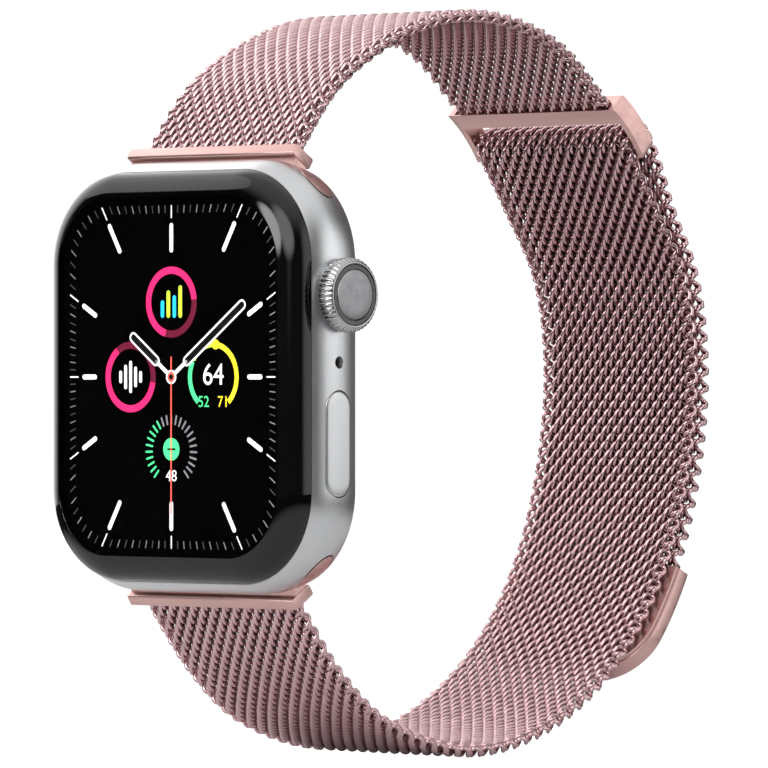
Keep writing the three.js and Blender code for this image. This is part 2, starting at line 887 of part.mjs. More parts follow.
// The tongue's outer layer lies on the inner one, and eases away from it up to the fold bar.
const layerOffset = strapThickness + layerGap;
const foldOffset = 2 * foldRadius;
function returnOffset(distance) {
  const t = THREE.MathUtils.clamp(1 - distance / easeOver, 0, 1);
  return layerOffset + (foldOffset - layerOffset) * t * t * (3 - 2 * t);
}

// Stations on the lower line between two distances below the fold, from the fold downwards.
function belowFold(from, to, count) {
  const line = stations(lowerPath, -1, 0, 0, 400);
  const total = line[line.length - 1].along;
  return Array.from({ length: count + 1 }, (_, i) => {
    const distance = from + ((to - from) * i) / count;
    const place = line[Math.round(((total - distance) / total) * 400)];
    return { ...place, distance };
  });
}

function strapReturn() {
  const low = (place) => returnOffset(place.distance) - halfThickness;
  const high = (place) => returnOffset(place.distance) + halfThickness;
  return ribbon(belowFold(layerGap, tongueReturn, 28), low, high, -strapHalf, strapHalf);
}

// ---- Clasp ring ---------------------------------------------------------------------------

const ringInner = strapHalf + ringSideGap;
const ringOuter = ringInner + ringSideWall;

function ringShape(from, to, low, high) {
  const steps = 6;
  const bow = (down) => ringBow * (1 - ((2 * down) / ringLength - 1) ** 2);
  const edge = (out, order) =>
    order.map((t) => {
      const down = from + (to - from) * t;
      return ringPoint(down, out + bow(down));
    });
  const forward = Array.from({ length: steps + 1 }, (_, i) => i / steps);
  return new THREE.Shape([...edge(low, forward), ...edge(high, [...forward].reverse())]);
}

function claspRing() {
  const half = ringThickness / 2;
  const side = ringShape(0, ringLength, -half, half);
  const bar = circle(ringFoldBar, foldBar.x, foldBar.y);
  return join(
    alongX(side, ringInner, ringOuter),
    alongX(side, -ringOuter, -ringInner),
    alongX(ringShape(0, ringTopBar, -half, half), -ringInner - 0.2, ringInner + 0.2),
    alongX(bar, -ringInner - 0.2, ringInner + 0.2, 16),
  );
}

// ---- Magnetic end tab ---------------------------------------------------------------------

const tabStart = tongueReturn + layerGap;
const tabEnd = tabStart + tabLength;
const tabLow = halfThickness + layerGap;
const tabHalf = strapHalf + tabOverhang;

// Half width of the tab at a distance below the fold: square at the band, rounded at the free end.
function tabHalfWidth(distance, inset) {
  const radius = tabCorner - inset;
  const past = Math.max(0, distance - (tabEnd - tabCorner));
  return tabHalf - inset - radius + Math.sqrt(Math.max(0, radius * radius - past * past));
}

function tabBody(low, high, inset, ease) {
  const width = (place) => tabHalfWidth(place.distance, inset);
  const places = belowFold(tabStart + inset, tabEnd - inset, 14);
  return ribbon(places, low, high, (place) => -width(place), width, ease);
}

function tabShell() {
  const low = tabLow + tabPlate + staticGap;
  const pocket = tabBody(low - 1, tabLow + tabThickness - tabWall, tabWall, 0.05);
  return cut(tabBody(low, tabLow + tabThickness, 0, 0.25), pocket);
}

function tabMagnet(index) {
  const x = (index - (tabMagnets - 1) / 2) * magnetSpacing;
  const places = belowFold(tabStart + magnetFromMesh, tabEnd - magnetFromEnd, 5);
  const low = tabLow + tabPlate + staticGap;
  const high = tabLow + tabThickness - tabWall - staticGap;
  return ribbon(places, low, high, x - magnetHalfWidth, x + magnetHalfWidth, 0.05);
}

// ---- Assembly -----------------------------------------------------------------------------

const watch = new THREE.Group();
function add(name, geometry, material) {
  const mesh = new THREE.Mesh(geometry, material);
  mesh.name = name;
  watch.add(mesh);
}

add("case_shell", caseShell(), silver());
add("front_glass", frontGlass(), finish(0x050507, 0.05, 0.0));
add("glass_gasket", glassGasket(), rubber());
add("display_panel", displayPanel(), finish(0x0a0a0c, 0.3, 0.0));
add("back_cover", backCover(), finish(0x2b2c2e, 0.4, 0.0));
add("back_crystal", backCrystal(), finish(0x111114, 0.08, 0.0));
add("crystal_bezel", crystalBezel(), steel());
add("sensor_board", sensorBoard(), finish(0x14351f, 0.6, 0.0));
add("charging_coil", chargingCoil(), finish(0xb06a3b, 0.4, 1.0));
add("main_board", mainBoard(), finish(0x173a26, 0.6, 0.0));
screwPlaces.forEach(([x, z], i) => add(`board_screw_${i + 1}`, boardScrew(x, z), steel()));
add("processor_package", processorPackage(), darkPolymer());
add("battery", battery(), finish(0x3a3b3d, 0.5, 0.0));
add("haptic_housing", hapticHousing(), steel());
add("haptic_mass", hapticMass(), steel());
add("speaker", speaker(), darkPolymer());
add("microphone", microphone(), darkPolymer());

add("crown_knob", crownKnob(), silver());
add("crown_ring", crownRing(), finish(0x6d6f72, 0.4, 0.0));
add("crown_cap", crownCap(), silver());
add("crown_stem", crownStem(), steel());
add("crown_bushing", crownBushing(), steel());
add("crown_seal", crownSeal(), rubber());
add("crown_encoder_ring", crownEncoderRing(), steel());
add("crown_encoder", crownEncoder(), darkPolymer());
add("crown_thrust_plate", crownThrustPlate(), steel());
add("crown_switch", crownSwitch(), darkPolymer());

add("side_button", sideButton(), silver());
add("button_retainer", buttonRetainer(), steel());
postZ.forEach((z, i) => add(`button_seal_${i + 1}`, buttonSeal(z), rubber()));
add("button_switch", buttonSwitch(), darkPolymer());
add("button_bracket", buttonBracket(), steel());

for (const [end, side] of [["upper", 1], ["lower", -1]]) {
  add(`release_button_${end}`, releaseButton(side), silver());
  add(`lug_adapter_${end}`, lugAdapter(side), roseMetal());
  add(`lug_catch_${end}`, lugCatch(side), steel());
}
add("strap_upper", strapUpper(), roseMesh());
add("strap_lower", strapLower(), roseMesh());
add("strap_return", strapReturn(), roseMesh());
add("clasp_ring", claspRing(), roseMetal());
add("tab_shell", tabShell(), roseMetal());
add("tab_plate", tabBody(tabLow, tabLow + tabPlate, 0, 0.1), roseMetal());
for (let i = 0; i < tabMagnets; i++) {
  add(`tab_magnet_${i + 1}`, tabMagnet(i), steel());
}

export default watch;
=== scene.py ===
"""A smartwatch on a woven metal loop band: the fine surfaces, finishes and studio round its fixed frame."""

import math

import bmesh
import bpy
import numpy as np
from bpy.props import FloatProperty, FloatVectorProperty, IntProperty, PointerProperty
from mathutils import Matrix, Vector


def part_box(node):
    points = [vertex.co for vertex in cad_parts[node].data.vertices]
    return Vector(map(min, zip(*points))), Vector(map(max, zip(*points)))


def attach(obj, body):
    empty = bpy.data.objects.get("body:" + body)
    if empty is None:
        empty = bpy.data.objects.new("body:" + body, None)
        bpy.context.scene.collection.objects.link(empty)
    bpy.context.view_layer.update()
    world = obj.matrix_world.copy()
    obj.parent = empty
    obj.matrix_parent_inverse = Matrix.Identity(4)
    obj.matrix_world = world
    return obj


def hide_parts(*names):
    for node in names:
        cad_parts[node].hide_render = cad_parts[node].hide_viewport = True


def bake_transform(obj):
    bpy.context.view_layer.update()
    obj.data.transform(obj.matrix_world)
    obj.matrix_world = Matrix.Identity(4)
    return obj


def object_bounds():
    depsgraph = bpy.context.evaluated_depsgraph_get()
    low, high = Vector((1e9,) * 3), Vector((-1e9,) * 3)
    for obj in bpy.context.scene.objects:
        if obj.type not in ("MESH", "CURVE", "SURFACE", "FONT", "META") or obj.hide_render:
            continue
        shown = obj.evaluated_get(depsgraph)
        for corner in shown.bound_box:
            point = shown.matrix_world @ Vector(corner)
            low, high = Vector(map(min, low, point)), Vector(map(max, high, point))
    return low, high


bl_info = {
    "name": "Loop Band Smartwatch",
    "version": (1, 0, 0),
    "blender": (4, 5, 0),
    "location": "View3D > Sidebar > Smartwatch",
    "description": "Builds the surfaces, finishes and studio of a smartwatch on a woven metal band",
    "category": "Add Mesh",
}

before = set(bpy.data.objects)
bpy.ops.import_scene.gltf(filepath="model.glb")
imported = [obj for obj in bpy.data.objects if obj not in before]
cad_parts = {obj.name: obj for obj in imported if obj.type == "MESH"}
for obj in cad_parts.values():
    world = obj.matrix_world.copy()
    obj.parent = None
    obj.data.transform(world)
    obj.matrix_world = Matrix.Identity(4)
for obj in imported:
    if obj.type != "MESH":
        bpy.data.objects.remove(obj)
cad_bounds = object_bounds()

MM = 0.001  # one millimetre, in metres; every size below is in millimetres


def node_box(node):
    """Lowest and highest corner of a frame node, in millimetres."""
    low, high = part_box(node)
    return np.array(low) / MM, np.array(high) / MM


# ---- Driving sizes ------------------------------------------------------------------------

CASE_LOW, CASE_HIGH = node_box("case_shell")
HALF_X = CASE_HIGH[0]
HALF_Z = CASE_HIGH[2]
SEAM_Y = CASE_LOW[1]
BACK_Y = CASE_HIGH[1]
CASE_CORNER = 10.5
BULGE_Y = -5.2
BACK_EDGE_Y = -2.3
SEAM_INSET = 1.0
BACK_EDGE_INSET = 0.5
BACK_FACE_INSET = 1.7
SIDE_WALL = 3.0
INNER_CORNER = 7.5
POCKET_FLOOR_Y = -6.3
SEAM_GAP = 0.05
SEAM_LIP = 0.35
SEAM_REBATE = 0.4
GLASS_FACE_Y = node_box("front_glass")[0][1]
GLASS_CURVE = 3.45
CLEARANCE = 0.1
POST_INNER_X = 15.1
BACK_PLATE_X = 15.9
BACK_PLATE_Z = 17.0
BACK_PLATE_CORNER = 6.4
BACK_PLATE_INNER_Y = -2.65
SENSOR_WELL_RADIUS = 10.6
CRYSTAL_RADIUS = 13.0
CRYSTAL_FLAT_RADIUS = 5
WINDOW_X = 15.6
WINDOW_Z = 18.3
WINDOW_CORNER = 6.9
PANE_SET = 0.15
PANE_THICKNESS = 0.12
WINDOW_DEPTH = 1.0

CROWN_LOW, CROWN_HIGH = node_box("crown_knob")
CONTROLS_Y = (CROWN_LOW[1] + CROWN_HIGH[1]) / 2
CROWN_Z = (CROWN_LOW[2] + CROWN_HIGH[2]) / 2
CROWN_RADIUS = (CROWN_HIGH[2] - CROWN_LOW[2]) / 2
CROWN_BASE_X = CROWN_LOW[0]
CROWN_FACE_X = CROWN_HIGH[0]
BUTTON_LOW, BUTTON_HIGH = node_box("side_button")
BUTTON_Z = (BUTTON_LOW[2] + BUTTON_HIGH[2]) / 2
BUTTON_LENGTH = BUTTON_HIGH[2] - BUTTON_LOW[2]
BUTTON_WIDTH = BUTTON_HIGH[1] - BUTTON_LOW[1]
MIC_LOW, MIC_HIGH = node_box("microphone")
MIC_Z = (MIC_LOW[2] + MIC_HIGH[2]) / 2

STRAP_LOW, STRAP_HIGH = node_box("strap_upper")
STRAP_HALF = STRAP_HIGH[0]
STRAP_THICKNESS = 1.5
BEAD_Y = -3.75
BEAD_Z = 19.55
BEAD_RADIUS = 1.45
CHANNEL_GAP = 0.2
CLAMP_Y = BEAD_Y + 0.95
CLAMP_Z = BEAD_Z + 2.75
CLAMP_LENGTH = 3.1
CLAMP_THICKNESS = 1.25
CLAMP_TILT = -33
NECK_THICKNESS = 1.7
ADAPTER_HALF = STRAP_HALF + 0.8
RELEASE_LENGTH = 6.8
RELEASE_WIDTH = 1.7
LOOP_BACK = node_box("strap_lower")[1][1] - STRAP_THICKNESS / 2
LAYER_GAP = 0.3
EDGE_LOOP = 0.45

RING_TOP = np.array([LOOP_BACK - 13.9, CLAMP_Z + 6.85])
RING_ANGLE = math.radians(-45.5)
RING_DOWN = np.array([math.cos(RING_ANGLE), math.sin(RING_ANGLE)])
RING_OUT = np.array([-RING_DOWN[1], RING_DOWN[0]])
RING_LENGTH = 6.9
RING_THICKNESS = 2.3
RING_BOW = 0.35
RING_WALL = 0.75
RING_OUTER = node_box("clasp_ring")[1][0]
RING_INNER = RING_OUTER - RING_WALL
RING_TOP_BAR = 2.2
FOLD_BAR_RADIUS = 0.65
FOLD_BAR = RING_TOP + RING_DOWN * (RING_LENGTH - FOLD_BAR_RADIUS - 0.05) + RING_OUT * 0.45
FOLD_RADIUS = FOLD_BAR_RADIUS + LAYER_GAP + STRAP_THICKNESS / 2
FOLD_START = FOLD_BAR - RING_OUT * FOLD_RADIUS
MESH_TO_RING = RING_TOP - RING_DOWN * LAYER_GAP - RING_OUT * (RING_THICKNESS - STRAP_THICKNESS) / 2
MESH_SLOT = 0.7

LAYER_OFFSET = STRAP_THICKNESS + LAYER_GAP
EASE_OVER = 12.0
TONGUE_RETURN = 47.0
TAB_START = TONGUE_RETURN + LAYER_GAP
TAB_LENGTH = 13.0
TAB_END = TAB_START + TAB_LENGTH
TAB_THICKNESS = 2.25
TAB_CORNER = 5.5
TAB_LOW = STRAP_THICKNESS / 2 + LAYER_GAP
TAB_HALF = node_box("tab_shell")[1][0]


# ---- Settings -----------------------------------------------------------------------------


def colour(name, description, default):
    """A colour setting."""
    return FloatVectorProperty(
        name=name, description=description, subtype="COLOR", size=3, min=0, max=1, default=default
    )


class WatchMetalSettings(bpy.types.PropertyGroup):
    silver: colour("Case metal", "Colour of the blasted aluminium case", (0.66, 0.67, 0.68))
    rose: colour("Fitting metal", "Colour of the clasp ring, lugs and tab", (0.72, 0.46, 0.43))
    wire: colour("Band wire", "Colour of the woven wire", (0.74, 0.50, 0.52))


class WatchWeaveSettings(bpy.types.PropertyGroup):
    wire_diameter: FloatProperty(
        name="Wire", description="Diameter of the band's wire", default=0.00045, unit="LENGTH"
    )
    column_pitch: FloatProperty(
        name="Columns", description="Pitch of a coil across the band", default=0.00153, unit="LENGTH"
    )
    row_pitch: FloatProperty(
        name="Rows", description="Spacing of the coils along the band", default=0.00090, unit="LENGTH"
    )
    coil_half: FloatProperty(
        name="Coil", description="Half the height of a coil", default=0.00094, unit="LENGTH"
    )
    sides: IntProperty(name="Sides", description="Faces round the wire", default=6, min=4, max=16)


class WatchDialSettings(bpy.types.PropertyGroup):
    hour: FloatProperty(name="Hour", description="Place of the hour hand", default=10.22)
    minute: FloatProperty(name="Minute", description="Place of the minute hand", default=9.0)
    second: FloatProperty(name="Second", description="Place of the second hand", default=30.0)
    glow: FloatProperty(name="Glow", description="Brightness of the display", default=1.0)


class WatchStudioSettings(bpy.types.PropertyGroup):
    lens: FloatProperty(name="Lens", description="Focal length", default=324.7, subtype="DISTANCE_CAMERA")
    azimuth: FloatProperty(
        name="Azimuth",
        description="Camera's turn round the watch",
        default=math.radians(42.96),
        subtype="ANGLE",
    )
    distance: FloatProperty(
        name="Distance", description="Camera to the watch", default=0.70966, unit="LENGTH"
    )
    floor: colour("Floor", "Colour of the floor", (0.6, 0.6, 0.6))
    key: FloatProperty(name="Key", description="Power of the main lamp", default=0.8, subtype="POWER")


# ---- Mesh tools ---------------------------------------------------------------------------


def link(name, mesh, material=None):
    """A new object for the mesh, in the scene."""
    obj = bpy.data.objects.new(name, mesh)
    bpy.context.scene.collection.objects.link(obj)
    if material:
        mesh.materials.clear()
        mesh.materials.append(material)
    return obj


def smooth(mesh, angle=35):
    """Smooth shading, with edges sharper than the angle left crisp."""
    mesh.shade_smooth()
    mesh.set_sharp_from_angle(angle=math.radians(angle))


def solid(name, points, faces, material=None, angle=35):
    """A closed mesh object from points in millimetres, with its faces turned outwards."""
    mesh = bpy.data.meshes.new(name)
    mesh.from_pydata((np.asarray(points, float) * MM).tolist(), [], faces)
    work = bmesh.new()
    work.from_mesh(mesh)
    bmesh.ops.recalc_face_normals(work, faces=work.faces)
    work.to_mesh(mesh)
    work.free()
    smooth(mesh, angle)
    return link(name, mesh, material)


def ring_faces(count, size, closed=False):
    """Quads between rings of points, and flat ends unless the rings close on themselves."""
    faces = []
    for r in range(count if closed else count - 1):
        s = (r + 1) % count
        for i in range(size):
            j = (i + 1) % size
            faces.append((r * size + i, r * size + j, s * size + j, s * size + i))
    if not closed:
        faces.append(tuple(range(size))[::-1])
        faces.append(tuple((count - 1) * size + i for i in range(size)))
    return faces


def loft(name, rings, material=None, angle=35, closed=False):
    """A closed body through rings of points, each ring with the same number of points."""
    rings = np.asarray(rings, float)
    count, size, _ = rings.shape
    faces = ring_faces(count, size, closed)
    return solid(name, rings.reshape(-1, 3), faces, material, angle)


def turned(name, profile, place, axis="X", sides=96, material=None, angle=35):
    """A body turned from a profile of (radius, distance) about an axis through place."""
    profile = np.asarray(profile, float)
    rings = []
    for i in range(sides):
        a = 2 * math.pi * i / sides
        c, s = math.cos(a), math.sin(a)
        if axis == "X":
            ring = [(h, place[0] + r * c, place[1] + r * s) for r, h in profile]
        else:
            ring = [(place[0] + r * c, h, place[1] + r * s) for r, h in profile]
        rings.append(ring)
    obj = loft(name, rings, material, angle, closed=True)
    work = bmesh.new()
    work.from_mesh(obj.data)
    bmesh.ops.remove_doubles(work, verts=work.verts, dist=1e-7)
    bmesh.ops.recalc_face_normals(work, faces=work.faces)
    work.to_mesh(obj.data)
    work.free()
    smooth(obj.data, angle)
    return obj


def rounded(half_x, half_z, radius, steps=24):
    """Points of a rounded rectangle, anticlockwise."""
    points = []
    for corner, (sx, sz) in enumerate([(1, 1), (-1, 1), (-1, -1), (1, -1)]):
        for i in range(steps + 1):
            a = (corner + i / steps) * math.pi / 2
            x = sx * (half_x - radius) + radius * math.cos(a)
            z = sz * (half_z - radius) + radius * math.sin(a)
            points.append((x, z))
    return np.array(points)


def capsule(length, width, centre=(0, 0), upright=True, steps=20):
    """Points of a slot with round ends; it runs along the second axis when upright."""
    half, radius = (length - width) / 2, width / 2
    points = []
    for end in (0, 1):
        for i in range(steps + 1):
            a = (end + i / steps) * math.pi
            u = radius * math.cos(a)
            v = radius * math.sin(a) + (half if end == 0 else -half)
            points.append((centre[0] + u, centre[1] + v) if upright else (centre[0] - v, centre[1] + u))
    return np.array(points)


def along_x(name, outline, x0, x1, flare=0.0, ease=0.0, material=None):
    """Extrudes a (y, z) outline from x0 to x1; flare opens a chamfer near x1, ease rounds both ends."""
    middle = outline.mean(0)
    levels = [(x0, 1.0), (x1, 1.0)]
    if flare:
        grow = 1 + flare / np.abs(outline - middle).max()
        levels = [(x0, 1.0), (x1 - 1.0 - flare, 1.0), (x1 - 1.0 + flare, grow), (x1, grow)]
    if ease:
        trim = 1 - ease / np.abs(outline - middle).max()
        half = 1 - (1 - trim) * 0.3
        levels = [(x0, trim), (x0 + ease * 0.3, half), (x0 + ease, 1.0)]
        levels += [(x1 - ease, 1.0), (x1 - ease * 0.3, half), (x1, trim)]
    rings = [[(x, *(middle + (p - middle) * k)) for p in outline] for x, k in levels]
    return loft(name, rings, material)


def along_y(name, outline, y0, y1, material=None):
    """Extrudes an (x, z) outline from y0 to y1."""
    return loft(name, [[(x, y, z) for x, z in outline] for y in (y0, y1)], material)


def combine(body, tools, operation="DIFFERENCE", angle=35):
    """Cuts the tools from the body, or joins them to it, and removes the tools."""
    for tool in tools:
        step = body.modifiers.new(operation.lower(), "BOOLEAN")
        step.operation = operation
        step.solver = "EXACT"
        step.object = tool
    bpy.context.view_layer.update()
    graph = bpy.context.evaluated_depsgraph_get()
    mesh = bpy.data.meshes.new_from_object(body.evaluated_get(graph))
    body.modifiers.clear()
    body.data = mesh
    smooth(mesh, angle)
    for tool in tools:
        bpy.data.objects.remove(tool)
    return body


def soften(obj, width, segments=3, angle=32):
    """Rounds the body's crisp edges by a small width."""
    bevel = obj.modifiers.new("edge_round", "BEVEL")
    bevel.width = width * MM
    bevel.segments = segments
    bevel.limit_method = "ANGLE"
    bevel.angle_limit = math.radians(angle)
    bevel.use_clamp_overlap = True
    bevel.harden_normals = True
    return obj


def place(obj, body, slot, *nodes):
    """Rides the piece on a body and lets it stand for frame nodes; slot is not used."""
    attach(obj, body)
    if nodes:
        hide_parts(*nodes)
    return obj


# ---- Finishes -----------------------------------------------------------------------------


class Finish:
    """A procedural material: one principled shader, with helpers for the patterns that drive it."""

    def __init__(self, name, base, metallic=0.0, roughness=0.4, **sockets):
        self.material = bpy.data.materials.new(name)
        self.material.use_nodes = True
        self.material.diffuse_color = (*base, 1)
        self.nodes = self.material.node_tree.nodes
        self.links = self.material.node_tree.links
        self.shader = next(n for n in self.nodes if n.type == "BSDF_PRINCIPLED")
        self.base = base
        self.shader.inputs["Base Color"].default_value = (*base, 1)
        self.shader.inputs["Metallic"].default_value = metallic
        self.shader.inputs["Roughness"].default_value = roughness
        for socket, value in sockets.items():
            self.shader.inputs[socket.replace("_", " ")].default_value = value
        self.coordinates = self.nodes.new("ShaderNodeTexCoord").outputs["Object"]

    def stretched(self, scale):
        """Object coordinates stretched by a scale for each axis."""
        mapping = self.nodes.new("ShaderNodeMapping")
        mapping.inputs["Scale"].default_value = scale
        self.links.new(self.coordinates, mapping.inputs["Vector"])
        return mapping.outputs["Vector"]

    def noise(self, scale, detail=3.0, stretch=None):
        """Noise from 0 to 1, with its size given as features per metre."""
        node = self.nodes.new("ShaderNodeTexNoise")
        node.inputs["Scale"].default_value = scale
        node.inputs["Detail"].default_value = detail
        source = self.stretched(stretch) if stretch else self.coordinates
        self.links.new(source, node.inputs["Vector"])
        return node.outputs["Fac"]

    def between(self, value, low, high, start=0.3, end=0.7):
        """Maps a pattern from start..end to low..high."""
        node = self.nodes.new("ShaderNodeMapRange")
        for socket, number in zip(("From Min", "From Max", "To Min", "To Max"), (start, end, low, high)):
            node.inputs[socket].default_value = number
        self.links.new(value, node.inputs["Value"])
        return node.outputs["Result"]

    def tint(self, value, dark, light):
        """Drives the base colour between two colours by a pattern."""
        ramp = self.nodes.new("ShaderNodeValToRGB")
        ramp.color_ramp.elements[0].position = 0.3
        ramp.color_ramp.elements[0].color = (*dark, 1)
        ramp.color_ramp.elements[1].position = 0.7
        ramp.color_ramp.elements[1].color = (*light, 1)
        self.links.new(value, ramp.inputs["Fac"])
        self.links.new(ramp.outputs["Color"], self.shader.inputs["Base Color"])
        return ramp.outputs["Color"]

    def vary(self, value, spread=0.08):
        """Drives the base colour a little lighter and darker."""
        dark = [c * (1 - spread) for c in self.base]
        light = [min(1.0, c * (1 + spread)) for c in self.base]
        return self.tint(value, dark, light)

    def recess(self, shade, dark, reach):
        """Painted shade: darkens the colour in the gaps, by how closed in the surface is within a reach in
        millimetres.
        """
        closed = self.nodes.new("ShaderNodeAmbientOcclusion")
        closed.samples = 6
        closed.inputs["Distance"].default_value = reach * MM
        mix = self.nodes.new("ShaderNodeMix")
        mix.data_type = "RGBA"
        self.links.new(self.between(closed.outputs["AO"], 0, 1, 0.2, 0.65), mix.inputs["Factor"])
        mix.inputs[6].default_value = (*dark, 1)
        self.links.new(shade, mix.inputs[7])
        self.links.new(mix.outputs[2], self.shader.inputs["Base Color"])

    def rough(self, value, low, high):
        """Drives the roughness by a pattern."""
        self.links.new(self.between(value, low, high), self.shader.inputs["Roughness"])

    def bump(self, value, height, strength=1.0):
        """Raises the surface by a pattern, by a height in millimetres."""
        node = self.nodes.new("ShaderNodeBump")
        node.inputs["Strength"].default_value = strength
        node.inputs["Distance"].default_value = height * MM
        self.links.new(value, node.inputs["Height"])
        self.links.new(node.outputs["Normal"], self.shader.inputs["Normal"])


def blasted_silver():
    finish = Finish("blasted_silver", bpy.context.scene.watch_metal.silver, 1.0, 0.3)
    finish.vary(finish.noise(90, 4), 0.03)
    finish.rough(finish.noise(2600, 2), 0.29, 0.34)
    finish.bump(finish.noise(9000, 2), 0.0015, 0.2)
    return finish.material


def turned_silver():
    finish = Finish("turned_silver", (0.50, 0.50, 0.51), 1.0, 0.25)
    shade = finish.vary(finish.noise(400, 2, (1, 9, 9)), 0.04)
    # Painted shade: the colour turns near-black grey in the gaps between the crown's ribs.
    finish.recess(shade, (0.04, 0.04, 0.042), 0.25)
    finish.rough(finish.noise(1500, 2, (6, 1, 1)), 0.18, 0.3)
    finish.bump(finish.noise(5000, 2, (8, 1, 1)), 0.003, 0.4)
    return finish.material


def satin_grey():
    finish = Finish("satin_grey", (0.30, 0.30, 0.31), 1.0, 0.3)
    finish.vary(finish.noise(400, 2), 0.04)
    finish.rough(finish.noise(1500, 2), 0.26, 0.36)
    finish.bump(finish.noise(5000, 2), 0.002, 0.3)
    return finish.material


def satin_rose():
    finish = Finish("satin_rose", bpy.context.scene.watch_metal.rose, 1.0, 0.34)
    finish.vary(finish.noise(160, 4), 0.04)
    finish.rough(finish.noise(1200, 3, (0.08, 1, 1)), 0.3, 0.44)
    finish.bump(finish.noise(6000, 2, (0.05, 1, 1)), 0.004, 0.5)
    return finish.material


def rose_wire():
    finish = Finish("rose_wire", bpy.context.scene.watch_metal.wire, 1.0, 0.2)
    shade = finish.vary(finish.noise(700, 3), 0.1)
    # Painted shade: the colour turns dark plum in the gaps between the band's wires.
    finish.recess(shade, (0.05, 0.012, 0.022), 0.7)
    finish.rough(finish.noise(3000, 2), 0.13, 0.22)
    finish.bump(finish.noise(9000, 2), 0.003, 0.3)
    return finish.material


def polished_steel():
    finish = Finish("polished_steel", (0.52, 0.53, 0.55), 1.0, 0.25)
    finish.vary(finish.noise(300), 0.05)
    finish.rough(finish.noise(2000), 0.2, 0.34)
    finish.bump(finish.noise(5000, 2, (0.2, 1, 1)), 0.003, 0.4)
    return finish.material


def dark_polymer():
    finish = Finish("dark_polymer", (0.018, 0.018, 0.02), 0.0, 0.5)
    finish.vary(finish.noise(500), 0.3)
    finish.rough(finish.noise(2500), 0.42, 0.6)
    finish.bump(finish.noise(7000), 0.01, 0.5)
    return finish.material


def seal_rubber():
    finish = Finish("seal_rubber", (0.012, 0.012, 0.012), 0.0, 0.7)
    finish.vary(finish.noise(800), 0.3)
    finish.rough(finish.noise(1500), 0.6, 0.8)
    finish.bump(finish.noise(4000), 0.01, 0.5)
    return finish.material


def circuit_board():
    finish = Finish("circuit_board", (0.01, 0.07, 0.03), 0.0, 0.45)
    tracks = finish.nodes.new("ShaderNodeTexBrick")
    tracks.inputs["Scale"].default_value = 900
    tracks.inputs["Color1"].default_value = (0.008, 0.06, 0.025, 1)
    tracks.inputs["Color2"].default_value = (0.012, 0.085, 0.035, 1)
    tracks.inputs["Mortar"].default_value = (0.35, 0.22, 0.06, 1)
    tracks.inputs["Mortar Size"].default_value = 0.03
    turn = finish.nodes.new("ShaderNodeMapping")
    turn.inputs["Rotation"].default_value = (math.pi / 2, 0, 0)
    finish.links.new(finish.coordinates, turn.inputs["Vector"])
    finish.links.new(turn.outputs["Vector"], tracks.inputs["Vector"])
    finish.links.new(tracks.outputs["Color"], finish.shader.inputs["Base Color"])
    finish.rough(finish.noise(2000), 0.35, 0.55)
    finish.bump(tracks.outputs["Fac"], 0.02, 0.6)
    return finish.material


def wound_copper():
    finish = Finish("wound_copper", (0.70, 0.30, 0.14), 1.0, 0.35)
    rings = finish.nodes.new("ShaderNodeTexWave")
    rings.wave_type = "RINGS"
    rings.rings_direction = "Y"
    rings.inputs["Scale"].default_value = 1100
    finish.links.new(finish.coordinates, rings.inputs["Vector"])
    finish.tint(rings.outputs["Fac"], (0.35, 0.12, 0.05), (0.78, 0.36, 0.18))
    finish.rough(finish.noise(2000), 0.25, 0.45)
    finish.bump(rings.outputs["Fac"], 0.05, 0.8)
    return finish.material


def battery_foil():
    finish = Finish("battery_foil", (0.09, 0.09, 0.1), 0.6, 0.4)
    finish.vary(finish.noise(250, 5), 0.3)
    finish.rough(finish.noise(900, 5), 0.3, 0.5)
    finish.bump(finish.noise(350, 4), 0.04, 0.6)
    return finish.material


def clear_glass():
    finish = Finish("clear_glass", (0.98, 0.98, 1.0), 0.0, 0.0, Transmission_Weight=1.0, IOR=1.3)
    finish.vary(finish.noise(60, 2), 0.01)
    return finish.material


def black_glass():
    finish = Finish("black_glass", (0.0015, 0.0015, 0.002), 0.0, 0.05)
    finish.vary(finish.noise(80), 0.3)
    finish.rough(finish.noise(120, 3), 0.03, 0.07)
    return finish.material


def dark_panel():
    finish = Finish("dark_panel", (0.002, 0.002, 0.0025), 0.0, 0.5, Specular_IOR_Level=0.0)
    finish.vary(finish.noise(2500), 0.4)
    finish.rough(finish.noise(500), 0.3, 0.42)
    return finish.material


def black_ceramic():
    finish = Finish("black_ceramic", (0.035, 0.036, 0.038), 0.0, 0.3)
    finish.vary(finish.noise(300), 0.15)
    finish.rough(finish.noise(2500), 0.22, 0.38)
    finish.bump(finish.noise(5000), 0.003, 0.3)
    return finish.material


def ring_grey():
    finish = Finish("ring_grey", (0.10, 0.10, 0.105), 0.3, 0.35)
    finish.vary(finish.noise(600), 0.15)
    finish.rough(finish.noise(2500, 2, (6, 1, 1)), 0.28, 0.42)
    finish.bump(finish.noise(5000), 0.003, 0.3)
    return finish.material


def lit(name, tone, strength):
    """A glowing display colour, with the faint unevenness of lit pixels."""
    finish = Finish(name, tone, 0.0, 0.4)
    finish.shader.inputs["Emission Strength"].default_value = strength
    shade = finish.vary(finish.noise(3000, 2), 0.06)
    finish.links.new(shade, finish.shader.inputs["Emission Color"])
    return finish.material


# ---- Case ---------------------------------------------------------------------------------


def case_level(inset, y, steps=24):
    """One level of the case outline, drawn in by inset all round."""
    outline = rounded(HALF_X - inset, HALF_Z - inset, CASE_CORNER - inset, steps)
    return [(x, y, z) for x, z in outline]


